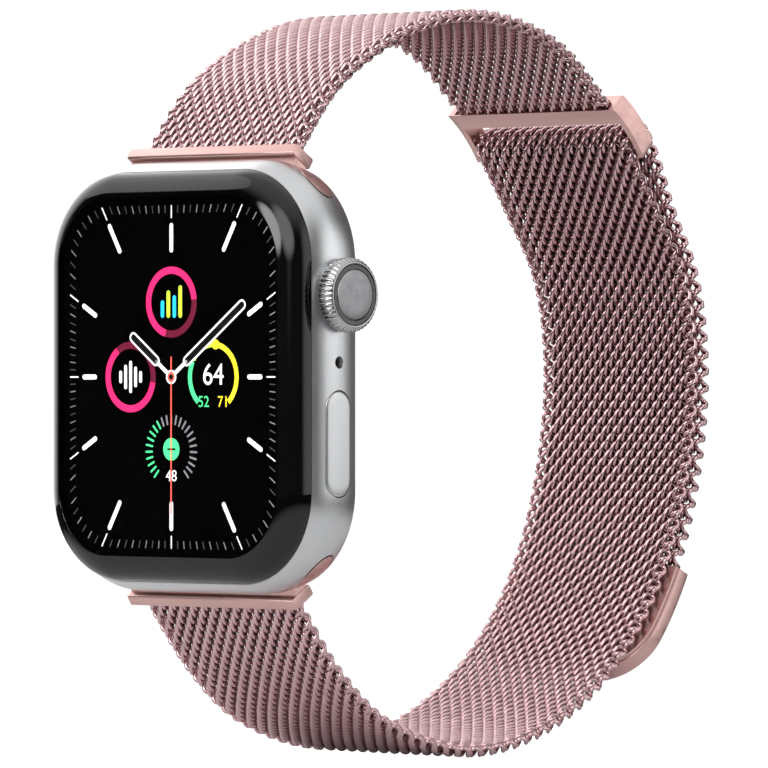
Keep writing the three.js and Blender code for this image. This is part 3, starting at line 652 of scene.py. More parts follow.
def case_body(name, material=None):
    """The case's outer form: softly bulged sides, then a round edge into the flat back."""
    rings = []
    for i in range(13):
        t = 1 - i / 12
        rings.append(case_level(SEAM_INSET * t * t, BULGE_Y + (SEAM_Y - BULGE_Y) * t))
    for i in range(1, 11):
        t = i / 10
        rings.append(case_level(BACK_EDGE_INSET * t * t, BULGE_Y + (BACK_EDGE_Y - BULGE_Y) * t))
    for i in range(1, 9):
        a = i / 8 * math.pi / 2
        inset = BACK_EDGE_INSET + (BACK_FACE_INSET - BACK_EDGE_INSET) * (1 - math.cos(a))
        rings.append(case_level(inset, BACK_EDGE_Y + (BACK_Y - BACK_EDGE_Y) * math.sin(a)))
    return loft(name, rings, material)


def disc_outline(radius, centre, steps=48):
    """Points of a circle."""
    angles = [2 * math.pi * i / steps for i in range(steps)]
    return np.array([(centre[0] + radius * math.cos(a), centre[1] + radius * math.sin(a)) for a in angles])


def lug_outlines(gap, side):
    """Outlines in (y, z) of the adapter's bead, neck and clamp, grown by gap."""
    bead = disc_outline(BEAD_RADIUS + gap, (BEAD_Y, BEAD_Z), 64)
    foot, head = np.array([BEAD_Y, BEAD_Z]), np.array([CLAMP_Y, CLAMP_Z])
    run = (head - foot) / np.linalg.norm(head - foot)
    across = np.array([run[1], -run[0]]) * (NECK_THICKNESS / 2 + gap)
    neck = np.array([foot + across, head + across, head - across, foot - across])
    radius = 0.26 + gap
    bar = rounded(CLAMP_LENGTH / 2 + gap, CLAMP_THICKNESS / 2 + gap, radius, 6)
    tilt = math.radians(CLAMP_TILT)
    turn = np.array([[math.cos(tilt), -math.sin(tilt)], [math.sin(tilt), math.cos(tilt)]])
    bar = bar @ turn.T + head
    return [outline * (1, side) for outline in (bead, neck, bar)]


def build_case(silver):
    core_z = BEAD_Z - BEAD_RADIUS - CHANNEL_GAP - 0.8
    cavity_x = HALF_X - SIDE_WALL
    rebate = SEAM_INSET + SEAM_LIP
    tools = [
        along_y("pocket", rounded(cavity_x, HALF_Z - SIDE_WALL, INNER_CORNER), SEAM_Y - 1, POCKET_FLOOR_Y),
        along_y("core", rounded(cavity_x, core_z, INNER_CORNER - 1), POCKET_FLOOR_Y - 1, BACK_Y + 1),
        along_y(
            "rebate",
            rounded(HALF_X - rebate, HALF_Z - rebate, CASE_CORNER - rebate),
            SEAM_Y - 1,
            SEAM_Y + SEAM_REBATE,
        ),
        along_x("crown_bore", disc_outline(2.15, (CONTROLS_Y, CROWN_Z)), cavity_x - 1, HALF_X + 1),
        along_x("port", disc_outline(0.6, (CONTROLS_Y, MIC_Z)), cavity_x - 1, HALF_X + 1, 0.06),
    ]
    slot = capsule(BUTTON_LENGTH + 0.2, BUTTON_WIDTH + 0.2, (CONTROLS_Y, BUTTON_Z))
    tools.append(along_x("button_slot", slot, HALF_X - 2.0, HALF_X + 1, 0.07))
    for sign in (-1, 1):
        grille = capsule(5.6, 1.0, (CONTROLS_Y, sign * 4.0))
        tools.append(along_x("grille", grille, -HALF_X - 1, -cavity_x + 1))
        for outline in lug_outlines(CHANNEL_GAP, sign):
            tools.append(along_x("channel", outline, -HALF_X - 1, HALF_X + 1))
        release = capsule(RELEASE_LENGTH + 0.2, RELEASE_WIDTH + 0.2, (0, sign * BEAD_Z), upright=False)
        tools.append(along_y("release", release, BEAD_Y, BACK_Y + 1))
    case = combine(case_body("case_body", silver), tools)
    place(case, "case", "silver_aluminium", "case_shell")

    # The port's gauze, as a black, non-reflecting disc deep in the mic hole: painted shade that makes the
    # hole read dark.
    shaded_gauze_outline = disc_outline(0.62, (CONTROLS_Y, MIC_Z), 40)
    port = along_x("port_gauze_painted_shade", shaded_gauze_outline, HALF_X - 1.2, HALF_X - 0.9, material=dark_panel())
    place(port, "case", "dark_polymer")


# ---- Front glass and display --------------------------------------------------------------


def dome(name, inset, face_y, back_y, curve, material=None, steps=14):
    """A slab with a flat face whose edge rolls down to the seam."""
    rings = []
    for i in range(steps + 1):
        a = i / steps * math.pi / 2
        level = back_y + (face_y - back_y) * math.sin(a)
        rings.append(case_level(inset + curve * (1 - math.cos(a)), level))
    return loft(name, rings, material, angle=50)


def build_glass():
    seam = SEAM_Y - SEAM_GAP
    glass = dome("cover_glass", SEAM_INSET + SEAM_GAP, GLASS_FACE_Y, seam, GLASS_CURVE, black_glass(), 24)
    window = rounded(WINDOW_X, WINDOW_Z, WINDOW_CORNER)
    floor = GLASS_FACE_Y + WINDOW_DEPTH
    combine(glass, [along_y("window", window, GLASS_FACE_Y - 1, floor)], angle=50)
    place(glass, "case", "black_glass", "front_glass")
    inner = rounded(WINDOW_X - 0.01, WINDOW_Z - 0.01, WINDOW_CORNER - 0.01)
    screen = along_y("dark_screen", inner, floor - 0.02, floor + 0.05, dark_panel())
    place(screen, "case", "dial_display")
    front = GLASS_FACE_Y + PANE_SET
    pane = along_y("clear_pane", inner, front, front + PANE_THICKNESS, clear_glass())
    place(pane, "case", "black_glass")


class Dial:
    """Flat lit shapes on the display, gathered by colour."""

    lift = 0.008

    def __init__(self, front_y):
        self.front = front_y
        self.groups = {}

    def strip(self, tone, inner, outer, closed=False, layer=0):
        """A flat band between two lines of (x, z) points."""
        points, faces = self.groups.setdefault(tone, ([], []))
        inner, outer = np.asarray(inner, float), np.asarray(outer, float)
        n, base = len(inner), len(points)
        front = self.front - self.lift * (layer + 1)
        for y in (front, front + self.lift * 0.8):
            points.extend((x, y, z) for x, z in inner)
            points.extend((x, y, z) for x, z in outer)
        a, b, c, d = base, base + n, base + 2 * n, base + 3 * n
        for i in range(n if closed else n - 1):
            j = (i + 1) % n
            faces.append((a + i, a + j, b + j, b + i))
            faces.append((c + i, d + i, d + j, c + j))
            faces.append((a + i, c + i, c + j, a + j))
            faces.append((b + i, b + j, d + j, d + i))
        if not closed:
            faces.append((a, b, d, c))
            faces.append((a + n - 1, c + n - 1, d + n - 1, b + n - 1))

    def stroke(self, tone, start, end, width, layer=0, hollow=0.0):
        """A bar with round ends, or its outline of the hollow's thickness."""
        start, end = np.asarray(start, float), np.asarray(end, float)
        run = (end - start) / np.linalg.norm(end - start)
        side = np.array([-run[1], run[0]])

        def outline(radius):
            angles = np.linspace(0, math.pi, 9)
            far = [end + radius * (side * math.cos(a) + run * math.sin(a)) for a in angles]
            near = [start + radius * (-side * math.cos(a) - run * math.sin(a)) for a in angles]
            return np.array(far + near)

        if hollow:
            self.strip(tone, outline(width / 2 - hollow), outline(width / 2), True, layer)
            return
        edge = outline(width / 2)
        half = len(edge) // 2
        self.strip(tone, edge[:half], edge[half:][::-1], False, layer)

    def arc(self, tone, centre, radius, width, start, end, layer=0):
        """Part of a ring; angles are in degrees, clockwise from 12 o'clock."""
        full = abs(end - start) >= 359.9
        steps = max(6, int(abs(end - start) / 6))
        angles = np.radians(np.linspace(start, end, steps + 1))
        if full:
            angles = angles[:-1]
        way = np.column_stack([np.sin(angles), np.cos(angles)])
        inner = centre + way * (radius - width / 2)
        outer = centre + way * (radius + width / 2)
        self.strip(tone, inner, outer, full, layer)

    def disc(self, tone, centre, radius, layer=0):
        """A round spot."""
        self.arc(tone, np.asarray(centre, float), radius / 2 + 0.005, radius - 0.01, 0, 360, layer)

    def number(self, tone, text, centre, height, layer=0):
        """Plain digits, centred."""
        curve = bpy.data.curves.new("digits", "FONT")
        curve.body = text
        curve.align_x = "CENTER"
        curve.align_y = "CENTER"
        curve.size = height * 1.4
        holder = bpy.data.objects.new("digits", curve)
        bpy.context.scene.collection.objects.link(holder)
        bpy.context.view_layer.update()
        flat = bpy.data.meshes.new_from_object(holder.evaluated_get(bpy.context.evaluated_depsgraph_get()))
        work = bmesh.new()
        work.from_mesh(flat)
        rise = bmesh.ops.extrude_face_region(work, geom=work.faces[:])
        moved = [v for v in rise["geom"] if isinstance(v, bmesh.types.BMVert)]
        bmesh.ops.translate(work, verts=moved, vec=(0, 0, self.lift * 0.8))
        points, faces = self.groups.setdefault(tone, ([], []))
        base = len(points)
        front = self.front - self.lift * (layer + 1)
        work.verts.index_update()
        points.extend(
            (centre[0] + v.co.x, front + self.lift * 0.8 - v.co.z, centre[1] + v.co.y) for v in work.verts
        )
        faces.extend(tuple(base + v.index for v in f.verts) for f in work.faces)
        work.free()
        bpy.data.objects.remove(holder)
        bpy.data.meshes.remove(flat)

    def build(self, tones, glow):
        """One glowing piece for each colour."""
        for tone, (points, faces) in self.groups.items():
            shade, strength = tones[tone]
            piece = solid(f"dial_{tone}", points, faces, lit(f"lit_{tone}", shade, strength * glow))
            place(piece, "case", "dial_display")


DIAL_TONES = {
    "white": ((0.95, 0.95, 0.95), 1.0),
    "grey": ((0.30, 0.30, 0.31), 0.7),
    "dim": ((0.07, 0.09, 0.08), 0.6),
    "red": ((0.95, 0.12, 0.08), 0.9),
    "pink": ((0.95, 0.02, 0.16), 1.0),
    "wine": ((0.16, 0.005, 0.03), 0.7),
    "green": ((0.08, 0.85, 0.30), 1.0),
    "lime": ((0.60, 0.90, 0.05), 1.0),
    "yellow": ((0.95, 0.80, 0.03), 1.0),
    "blue": ((0.02, 0.55, 0.90), 1.0),
    "black": ((0.0005, 0.0005, 0.0005), 0.0),
}


def clock_way(hours):
    """Direction on the dial of a place given in hours."""
    a = hours / 12 * 2 * math.pi
    return np.array([math.sin(a), math.cos(a)])


def to_frame(way, half_x, half_z, radius):
    """How far along way the edge of a rounded rectangle lies."""
    low, high = 0.0, 60.0
    for _ in range(40):
        mid = (low + high) / 2
        x, z = abs(way * mid)
        over = np.array([max(0.0, x - (half_x - radius)), max(0.0, z - (half_z - radius))])
        inside = x <= half_x and z <= half_z and np.hypot(*over) <= radius
        low, high = (mid, high) if inside else (low, mid)
    return low


def build_dial(settings):
    dial = Dial(GLASS_FACE_Y + WINDOW_DEPTH - 0.02)
    for minute in range(240):
        way = clock_way(minute / 20)
        if minute % 4 and minute % 2:
            continue
        main, fifth = minute % 4 == 0, minute % 20 == 0
        outer = to_frame(way, 14.6, 17.4, 5.6)
        inner = to_frame(way, 13.9 if not fifth else 13.5, 16.7 if not fifth else 16.2, 5.2)
        tone = "white" if fifth else "grey" if main else "dim"
        dial.stroke(tone, way * inner, way * outer, 0.14 if fifth else 0.1)
    for hour in range(12):
        way = clock_way(hour)
        inner, outer = (
            min(hx / max(1e-6, abs(way[0])), hz / max(1e-6, abs(way[1])))
            for hx, hz in ((10.8, 12.7), (12.8, 15.6))
        )
        dial.stroke("white", way * (inner + 0.2), way * (outer - 0.2), 0.5)

    # Four round gauges
    top, left = np.array([0.0, 7.6]), np.array([-5.85, 0.0])
    right, bottom = np.array([5.95, 0.0]), np.array([0.0, -7.5])
    dial.arc("wine", top, 3.25, 0.72, 0, 360)
    dial.arc("pink", top, 3.25, 0.72, -165, 85, 1)
    for i, (tone, height) in enumerate([("blue", 1.3), ("lime", 2.3), ("blue", 1.8), ("lime", 2.8)]):
        x = top[0] + (i - 1.5) * 0.85
        dial.stroke(tone, (x, top[1] - 1.35), (x, top[1] - 1.35 + height), 0.5)
    dial.arc("wine", left, 3.25, 0.72, 0, 360)
    dial.arc("pink", left, 3.25, 0.72, 100, 325, 1)
    for i, height in enumerate([0.9, 2.1, 2.9, 1.7, 0.8]):
        x = left[0] + (i - 2) * 0.72
        dial.stroke("white", (x, left[1] - height / 2), (x, left[1] + height / 2), 0.4)
    dial.arc("green", right, 3.3, 0.55, -140, -62)
    dial.arc("lime", right, 3.3, 0.55, -58, 0)
    dial.arc("yellow", right, 3.3, 0.55, 4, 140)
    dial.disc("yellow", right + 3.3 * clock_way(0.2), 0.5, 1)
    dial.number("white", "64", right + (0, 0.15), 2.2)
    dial.number("green", "52", right + (-1.35, -2.55), 1.15)
    dial.number("yellow", "71", right + (1.4, -2.55), 1.15)
    for i in range(25):
        way = clock_way(-4.6 + i * 9.2 / 24)
        tone = "green" if i < 10 else "grey"
        dial.stroke(tone, bottom + way * 2.75, bottom + way * 3.6, 0.2)
    dial.disc("green", bottom + (0, 0.15), 1.15)
    dial.stroke("black", bottom + (-0.5, 0.15), bottom + (0.5, 0.15), 0.22, 1)
    dial.number("white", "48", bottom + (0, -2.6), 1.15)

    # Hands
    for place_, reach in ((settings.hour, 7.3), (settings.minute / 5, 12.9)):
        way = clock_way(place_)
        dial.stroke("white", way * 0.5, way * 2.6, 0.4, 2)
        dial.stroke("black", way * 2.75, way * (reach - 0.55), 0.75, 2)
        dial.stroke("white", way * 2.75, way * (reach - 0.55), 1.1, 3, hollow=0.2)
    way = clock_way(settings.second / 5)
    dial.disc("white", (0, 0), 0.72, 3)
    dial.stroke("red", -way * 2.0, way * 13.9, 0.17, 4)
    dial.arc("red", np.zeros(2), 0.42, 0.22, 0, 360, 5)
    dial.disc("black", (0, 0), 0.3, 5)
    dial.build(DIAL_TONES, settings.glow)


# ---- Crown and side button ----------------------------------------------------------------


def build_crown():
    silver = turned_silver()
    ribs, depth, sides = 44, 0.15, 44 * 6
    rim = 0.42
    base, face = CROWN_BASE_X, CROWN_FACE_X
    floor = face - 0.4
    levels = [
        (1.1, base, 0.0),
        (CROWN_RADIUS - 0.35, base, 0.0),
        (CROWN_RADIUS - 0.12, base + 0.1, 0.5),
        (CROWN_RADIUS, base + 0.24, 1.0),
        (CROWN_RADIUS, face - rim - 0.06, 1.0),
        (CROWN_RADIUS - 0.08, face - rim + 0.06, 0.9),
        (CROWN_RADIUS - 0.3, face - 0.12, 0.45),
        (CROWN_RADIUS - 0.42, face - 0.03, 0.1),
        (3.22, face, 0.0),
        (3.12, face - 0.04, 0.0),
        (3.10, floor, 0.0),
        (1.1, floor, 0.0),
    ]
    rings = []
    for i in range(sides):
        a = 2 * math.pi * i / sides
        wave = (0.5 - 0.5 * math.cos(a * ribs)) ** 1.6
        ring = []
        for radius, x, share in levels:
            r = radius - depth * share * wave
            ring.append((x, CONTROLS_Y + r * math.cos(a), CROWN_Z + r * math.sin(a)))
        rings.append(ring)
    knob = loft("crown_wheel", rings, silver, angle=60, closed=True)
    place(knob, "crown", "silver_aluminium", "crown_knob")
    place_at = (CONTROLS_Y, CROWN_Z)
    base, top = floor + 0.03, face - 0.06
    groove = [(2.62, base), (3.05, base), (3.05, top - 0.04), (3.0, top), (2.62, top)]
    ring = turned("crown_groove_ring", groove, place_at, material=ring_grey())
    place(ring, "crown", "crown_ring_grey", "crown_ring")
    cap_profile = [
        (0, floor + 0.03),
        (2.54, floor + 0.03),
        (2.54, face - 0.07),
        (2.5, face - 0.02),
        (2.4, face),
        (1.5, face + 0.0),
        (0, face),
    ]
    cap = turned("crown_face", cap_profile, place_at, material=satin_grey())
    place(cap, "crown", "silver_aluminium", "crown_cap")


def build_side_button(silver):
    centre = (CONTROLS_Y, BUTTON_Z)
    levels = [
        (HALF_X - 1.5, 0.0),
        (HALF_X - 0.14, 0.0),
        (HALF_X - 0.07, 0.03),
        (HALF_X - 0.02, 0.1),
        (HALF_X, 0.3),
        (HALF_X + 0.01, 0.8),
    ]
    rings = []
    for x, inset in levels:
        outline = capsule(BUTTON_LENGTH - 2 * inset, BUTTON_WIDTH - 2 * inset, centre, steps=28)
        share = [max(0.0, (y - BULGE_Y) / (SEAM_Y - BULGE_Y)) for y, _ in outline]
        bow = [SEAM_INSET * part**2 for part in share]
        rings.append([(x - b, y, z) for (y, z), b in zip(outline, bow)])
    button = loft("side_button_cap", rings, silver, angle=50)
    post = [(0, POST_INNER_X), (0.5, POST_INNER_X), (0.5, HALF_X - 1.2), (0, HALF_X - 1.2)]
    posts = [turned("post", post, (CONTROLS_Y, BUTTON_Z + dz)) for dz in (-3.2, 3.2)]
    combine(button, posts, "UNION", angle=50)
    place(button, "side_button", "silver_aluminium", "side_button")


# ---- Back of the case ---------------------------------------------------------------------


def build_back(silver):
    outline = rounded(BACK_PLATE_X, BACK_PLATE_Z, BACK_PLATE_CORNER)
    plate = along_y("back_plate", outline, BACK_PLATE_INNER_Y, BACK_Y - SEAM_GAP, black_ceramic())
    well = along_y("well", disc_outline(SENSOR_WELL_RADIUS, (0, 0), 96), -4, 0)
    cover = soften(combine(plate, [well]), 0.1)
    place(cover, "case", "back_ceramic", "back_cover")
    foot = BACK_Y + 0.025
    profile = [
        (0, foot),
        (CRYSTAL_RADIUS - 0.1, foot),
        (CRYSTAL_RADIUS, foot + 0.08),
        (CRYSTAL_RADIUS, foot + 0.2),
    ]
    for i in range(1, 25):
        a = i / 24 * math.pi / 2
        roll = (CRYSTAL_RADIUS - CRYSTAL_FLAT_RADIUS) * math.cos(a)
        profile.append((CRYSTAL_FLAT_RADIUS + roll, (foot + 0.2) * (1 - math.sin(a))))
    profile.append((0, 0))
    crystal = turned("back_crystal_dome", profile, (0, 0), "Y", 160, black_glass(), 60)
    place(crystal, "case", "back_crystal", "back_crystal")
    bezel_low, bezel_high = node_box("crystal_bezel")
    inner, outer = CRYSTAL_RADIUS + CLEARANCE, bezel_high[0]
    low, high = bezel_low[1], bezel_high[1]
    rim = [
        (inner, low),
        (outer, low),
        (outer, high - 0.15),
        (outer - 0.05, high - 0.04),
        (outer - 0.15, high),
        (inner + 0.15, high),
        (inner + 0.05, high - 0.04),
        (inner, high - 0.15),
    ]
    bezel = turned("crystal_rim", rim, (0, 0), "Y", 160, polished_steel())
    place(bezel, "case", "steel", "crystal_bezel")
    for end in ("upper", "lower"):
        low, high = node_box(f"release_button_{end}")
        outline = capsule(high[0] - low[0], high[2] - low[2], (0, (low[2] + high[2]) / 2), upright=False)
        cap = soften(along_y(f"release_cap_{end}", outline, low[1], high[1], silver), 0.12)
        place(cap, f"release_{end}", "silver_aluminium", f"release_button_{end}")


def build_adapters(rose):
    for end, side in (("upper", 1), ("lower", -1)):
        bead, neck, clamp = (
            along_x(part, outline, -HALF_X, HALF_X)
            for part, outline in zip(("bead", "neck", "clamp_in"), lug_outlines(0, side))
        )
        bpy.data.objects.remove(clamp)
        combine(bead, [neck], "UNION")
        combine(bead, [case_body("limit")], "INTERSECT")
        neck, clamp = lug_outlines(0, side)[1:]
        inner = ADAPTER_HALF - 0.06
        place(along_x(f"neck_{end}", neck, -inner, inner, material=rose), "band", "rose_metal")
        jaw = along_x(f"clamp_{end}", clamp, -ADAPTER_HALF, ADAPTER_HALF, ease=0.12, material=rose)
        place(jaw, "band", "rose_metal")
        catch_low, catch_high = node_box(f"lug_catch_{end}")
        low, high = catch_low - 0.2, catch_high + 0.2
        corners = np.array([(low[0], low[2]), (high[0], low[2]), (high[0], high[2]), (low[0], high[2])])
        combine(bead, [along_y("catch_bay", corners, low[1] - 0.3, BACK_Y + 1)])
        bead.name = f"lug_bar_{end}"
        bead.data.materials.clear()
        bead.data.materials.append(rose)
        place(bead, "band", "rose_metal", f"lug_adapter_{end}")


# ---- Band ---------------------------------------------------------------------------------


def curve_through(points, step=0.1):
    """A centripetal spline through the points, as points about a step apart."""
    points = np.asarray(points, float)
    ends = np.vstack([2 * points[0] - points[1], points, 2 * points[-1] - points[-2]])
    path = []
    for p0, p1, p2, p3 in zip(ends, ends[1:], ends[2:], ends[3:]):
        d0, d1, d2 = (math.sqrt(np.linalg.norm(b - a)) for a, b in ((p0, p1), (p1, p2), (p2, p3)))
        m1 = ((p1 - p0) / d0 - (p2 - p0) / (d0 + d1) + (p2 - p1) / d1) * d1
        m2 = ((p2 - p1) / d1 - (p3 - p1) / (d1 + d2) + (p3 - p2) / d2) * d1
        count = max(2, int(np.linalg.norm(p2 - p1) / step))
        t = np.linspace(0, 1, count, endpoint=False)[:, None]
        cubic = 2 * p1 - 2 * p2 + m1 + m2
        square = -3 * p1 + 3 * p2 - 2 * m1 - m2
        path.append(p1 + m1 * t + square * t**2 + cubic * t**3)
    path.append(points[-1:])
    return np.vstack(path)


class Strip:
    """A band's middle line in (y, z); it turns places along, across and off the band into points."""

    def __init__(self, path, side):
        keep = np.concatenate([[True], np.linalg.norm(np.diff(path, axis=0), axis=1) > 1e-6])
        self.path = path[keep]
        lengths = np.linalg.norm(np.diff(self.path, axis=0), axis=1)
        self.along = np.concatenate([[0], np.cumsum(lengths)])
        self.length = self.along[-1]
        tangent = np.gradient(self.path, self.along, axis=0)
        self.tangent = tangent / np.linalg.norm(tangent, axis=1)[:, None]
        self.side = side

    def points(self, x, s, n):
        """Points at x across, s along and n off the band towards its outer face."""
        inside = np.clip(s, 0, self.length)
        y, z = (np.interp(inside, self.along, self.path[:, k]) for k in (0, 1))
        ty, tz = (np.interp(inside, self.along, self.tangent[:, k]) for k in (0, 1))
        past = s - inside
        y, z = y + past * ty, z + past * tz
        return np.column_stack([x, y - self.side * tz * n, z + self.side * ty * n])


def band_lines():
    """The middle lines: upper band, and lower band with its fold and returning tongue."""
    upper = [
        (CLAMP_Y, CLAMP_Z),
        (CLAMP_Y + 6.3, CLAMP_Z + 7.4),
        (CLAMP_Y + 14.0, CLAMP_Z + 12.1),
        (CLAMP_Y + 22.8, CLAMP_Z + 14.9),
        (LOOP_BACK - 30.4, CLAMP_Z + 15.1),
        (LOOP_BACK - 21.7, CLAMP_Z + 12.5),
        tuple(MESH_TO_RING),
    ]
    lower = [
        (CLAMP_Y, -CLAMP_Z),
        (CLAMP_Y + 6.7, -CLAMP_Z - 8.0),
        (CLAMP_Y + 13.8, -CLAMP_Z - 13.3),
        (CLAMP_Y + 26.6, -CLAMP_Z - 16.6),
        (LOOP_BACK - 22.8, -CLAMP_Z - 14.3),
        (LOOP_BACK - 11.6, -CLAMP_Z - 7.0),
        (LOOP_BACK - 3.8, -CLAMP_Z + 4.4),
        (LOOP_BACK, -1.5),
        (LOOP_BACK - 1.6, CLAMP_Z - 11.8),
        (LOOP_BACK - 6.7, CLAMP_Z - 3.7),
        tuple(FOLD_START),
    ]
    return curve_through(upper), curve_through(lower)


def return_offset(distance):
    """How far the returning layer lies off the inner one, at a distance below the fold."""
    t = np.clip(1 - distance / EASE_OVER, 0, 1)
    return LAYER_OFFSET + (2 * FOLD_RADIUS - LAYER_OFFSET) * t * t * (3 - 2 * t)


def tongue_path(lower):
    """The fold's half turn, then the returning layer down to the tab."""
    turn = np.linspace(0, math.pi, 40)[1:, None]
    fold = FOLD_BAR + FOLD_RADIUS * (-np.cos(turn) * RING_OUT - np.sin(turn) * RING_DOWN)
    strip = Strip(lower, -1)
    distance = np.arange(0.3, TAB_START + 1.0, 0.25)
    s = strip.length - distance
    back = strip.points(np.zeros(len(s)), s, return_offset(distance))[:, 1:]
    return fold, back


def weave(strip, first, last, settings, odd=0):
    """One long wire coiled back and forth across the band, each coil hooked through its neighbours."""
    pitch = settings.column_pitch / MM
    radius = settings.wire_diameter / MM / 2
    half_s = settings.coil_half / MM
    half_n = STRAP_THICKNESS / 2 - radius
    rows = max(2, round((last - first) / (settings.row_pitch / MM)))
    places = first + (last - first) * (np.arange(rows) + 0.5) / rows
    edge = STRAP_HALF - radius - EDGE_LOOP
    columns = round(2 * edge / pitch - 0.5) + 0.5
    pitch = 2 * edge / columns
    line = np.linspace(-edge, edge, int(columns * 12) + 1)
    turns = -strip.side * 2 * math.pi / pitch

    def coil(x, row):
        angle = turns * x + math.pi * ((row + odd) % 2) + strip.side * math.pi / 2
        near = np.clip((np.abs(x) - edge + pitch * 0.6) / (pitch * 0.6), 0, 1)
        height = half_s * (1 - 0.6 * near * near * (3 - 2 * near))
        return places[row] + height * np.cos(angle), half_n * np.sin(angle)

    parts = []
    for row in range(rows):
        way = 1 if row % 2 == 0 else -1
        x = line * way
        s, n = coil(x, row)
        parts.append(np.column_stack([x, s, n]))
        if row == rows - 1:
            break
        u = np.linspace(0, 1, 9)[1:-1]
        past = way * (edge + pitch / 2 * u)
        back = way * (edge + pitch / 2 * (1 - u))
        s0, n0 = coil(past, row)
        s1, n1 = coil(back, row + 1)
        w = u * u * (3 - 2 * u)
        x = way * (edge + EDGE_LOOP * np.sin(math.pi * u))
        parts.append(np.column_stack([x, s0 * (1 - w) + s1 * w, n0 * (1 - w) + n1 * w]))
    flat = np.vstack(parts)
    return strip.points(flat[:, 0], flat[:, 1], flat[:, 2]), radius


def selvedge(strip, first, last, side, settings):
    """The wire that twists along one edge of the band and draws the coils' ends together."""
    radius = settings.wire_diameter / MM / 2
    rows = max(2, round((last - first) / (settings.row_pitch / MM)))
    pitch = (last - first) / rows
    s = np.arange(first, last, pitch / 6)
    shift = 1.0 if side > 0 else 2.0
    turn = math.pi * ((s - first) / pitch - shift)
    x = side * (STRAP_HALF - radius - 0.42 + 0.36 * np.cos(turn))
    n = (STRAP_THICKNESS / 2 - radius) * np.sin(turn)
    return strip.points(x, s, n), radius


def mesh_wires(strip, first, last, settings, odd=0):
    """The coiled wire and the two edge wires of a length of band."""
    path, radius = weave(strip, first, last, settings, odd)
    edges = [selvedge(strip, first, last, side, settings)[0] for side in (-1, 1)]
    return [path, *edges], radius


def wire(name, paths, radius, sides, material):
    """Round wires along some paths, as one mesh of closed tubes."""
    tubes = [wire_tube(path, radius, sides) for path in paths]
    mesh = bpy.data.meshes.new(name)
    starts = np.cumsum([0] + [len(points) for points, _ in tubes])
    mesh.from_pydata(
        np.vstack([points for points, _ in tubes]).tolist(),
        [],
        [tuple(i + start for i in face) for (_, faces), start in zip(tubes, starts) for face in faces],
    )
    mesh.shade_smooth()
    return link(name, mesh, material)


def wire_tube(path, radius, sides):
    """Points and faces of one closed tube along a path."""
    tangent = np.gradient(path, axis=0)
    tangent /= np.linalg.norm(tangent, axis=1)[:, None]
    u = np.array([1.0, 0, 0]) - tangent[:, :1] * tangent
    u /= np.linalg.norm(u, axis=1)[:, None]
    v = np.cross(tangent, u)
    angles = np.arange(sides) * 2 * math.pi / sides
    ring = np.cos(angles)[None, :, None] * u[:, None, :] + np.sin(angles)[None, :, None] * v[:, None, :]
    points = (path[:, None, :] + radius * ring).reshape(-1, 3) * MM
    return points, ring_faces(len(path), sides)


def build_band(settings):
    metal = rose_wire()
    upper, lower = band_lines()
    clamp_face = CLAMP_THICKNESS / 2 + LAYER_GAP
    strip = Strip(upper, 1)
    end = strip.length + LAYER_GAP + MESH_SLOT - 0.2
    paths, radius = mesh_wires(strip, clamp_face - 0.35, end, settings)
    piece = wire("mesh_upper", paths, radius, settings.sides, metal)
    place(piece, "band", "rose_mesh", "strap_upper")

    fold, back = tongue_path(lower)
    whole = Strip(np.vstack([lower, fold, back]), -1)
    below = Strip(lower, -1).length
    split = below + math.pi * FOLD_RADIUS
    pitch = settings.row_pitch / MM
    rows = round((split - clamp_face + 0.35) / pitch)
    paths, radius = mesh_wires(whole, clamp_face - 0.35, split, settings)
    piece = wire("mesh_lower", paths, radius, settings.sides, metal)
    place(piece, "band", "rose_mesh", "strap_lower")
    paths, radius = mesh_wires(whole, split, whole.length, settings, odd=rows % 2)
    piece = wire("mesh_tongue", paths, radius, settings.sides, metal)
    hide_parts("strap_return")
    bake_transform(piece)


# ---- Clasp --------------------------------------------------------------------------------


def ring_side(start, end, low, high, steps=18):
    """Outline of a bowed plate of the clasp ring, in (y, z)."""
    down = np.linspace(start, end, steps + 1)
    bow = RING_BOW * (1 - (2 * down / RING_LENGTH - 1) ** 2)
    edges = [RING_TOP + np.outer(down, RING_DOWN) + np.outer(out + bow, RING_OUT) for out in (low, high)]
    return np.vstack([edges[0], edges[1][::-1]])


def build_clasp(rose):
    half = RING_THICKNESS / 2
    side = ring_side(0, RING_LENGTH, -half, half)
    ring = along_x("clasp_frame", side, RING_INNER, RING_OUTER, ease=0.1, material=rose)
    reach = RING_INNER + 0.2
    parts = [
        along_x("left", side, -RING_OUTER, -RING_INNER, ease=0.1),
        along_x("top", ring_side(0, RING_TOP_BAR, -half, half, 18), -reach, reach),
        along_x("fold_bar", disc_outline(FOLD_BAR_RADIUS, FOLD_BAR, 32), -reach, reach),
    ]
    combine(ring, parts, "UNION")
    back = half - STRAP_THICKNESS
    slot = ring_side(-1, MESH_SLOT, -half + 0.1, back + 0.06, 4)
    combine(ring, [along_x("mesh_slot", slot, -STRAP_HALF - 0.05, STRAP_HALF + 0.05)])
    place(ring, "band", "rose_metal", "clasp_ring")


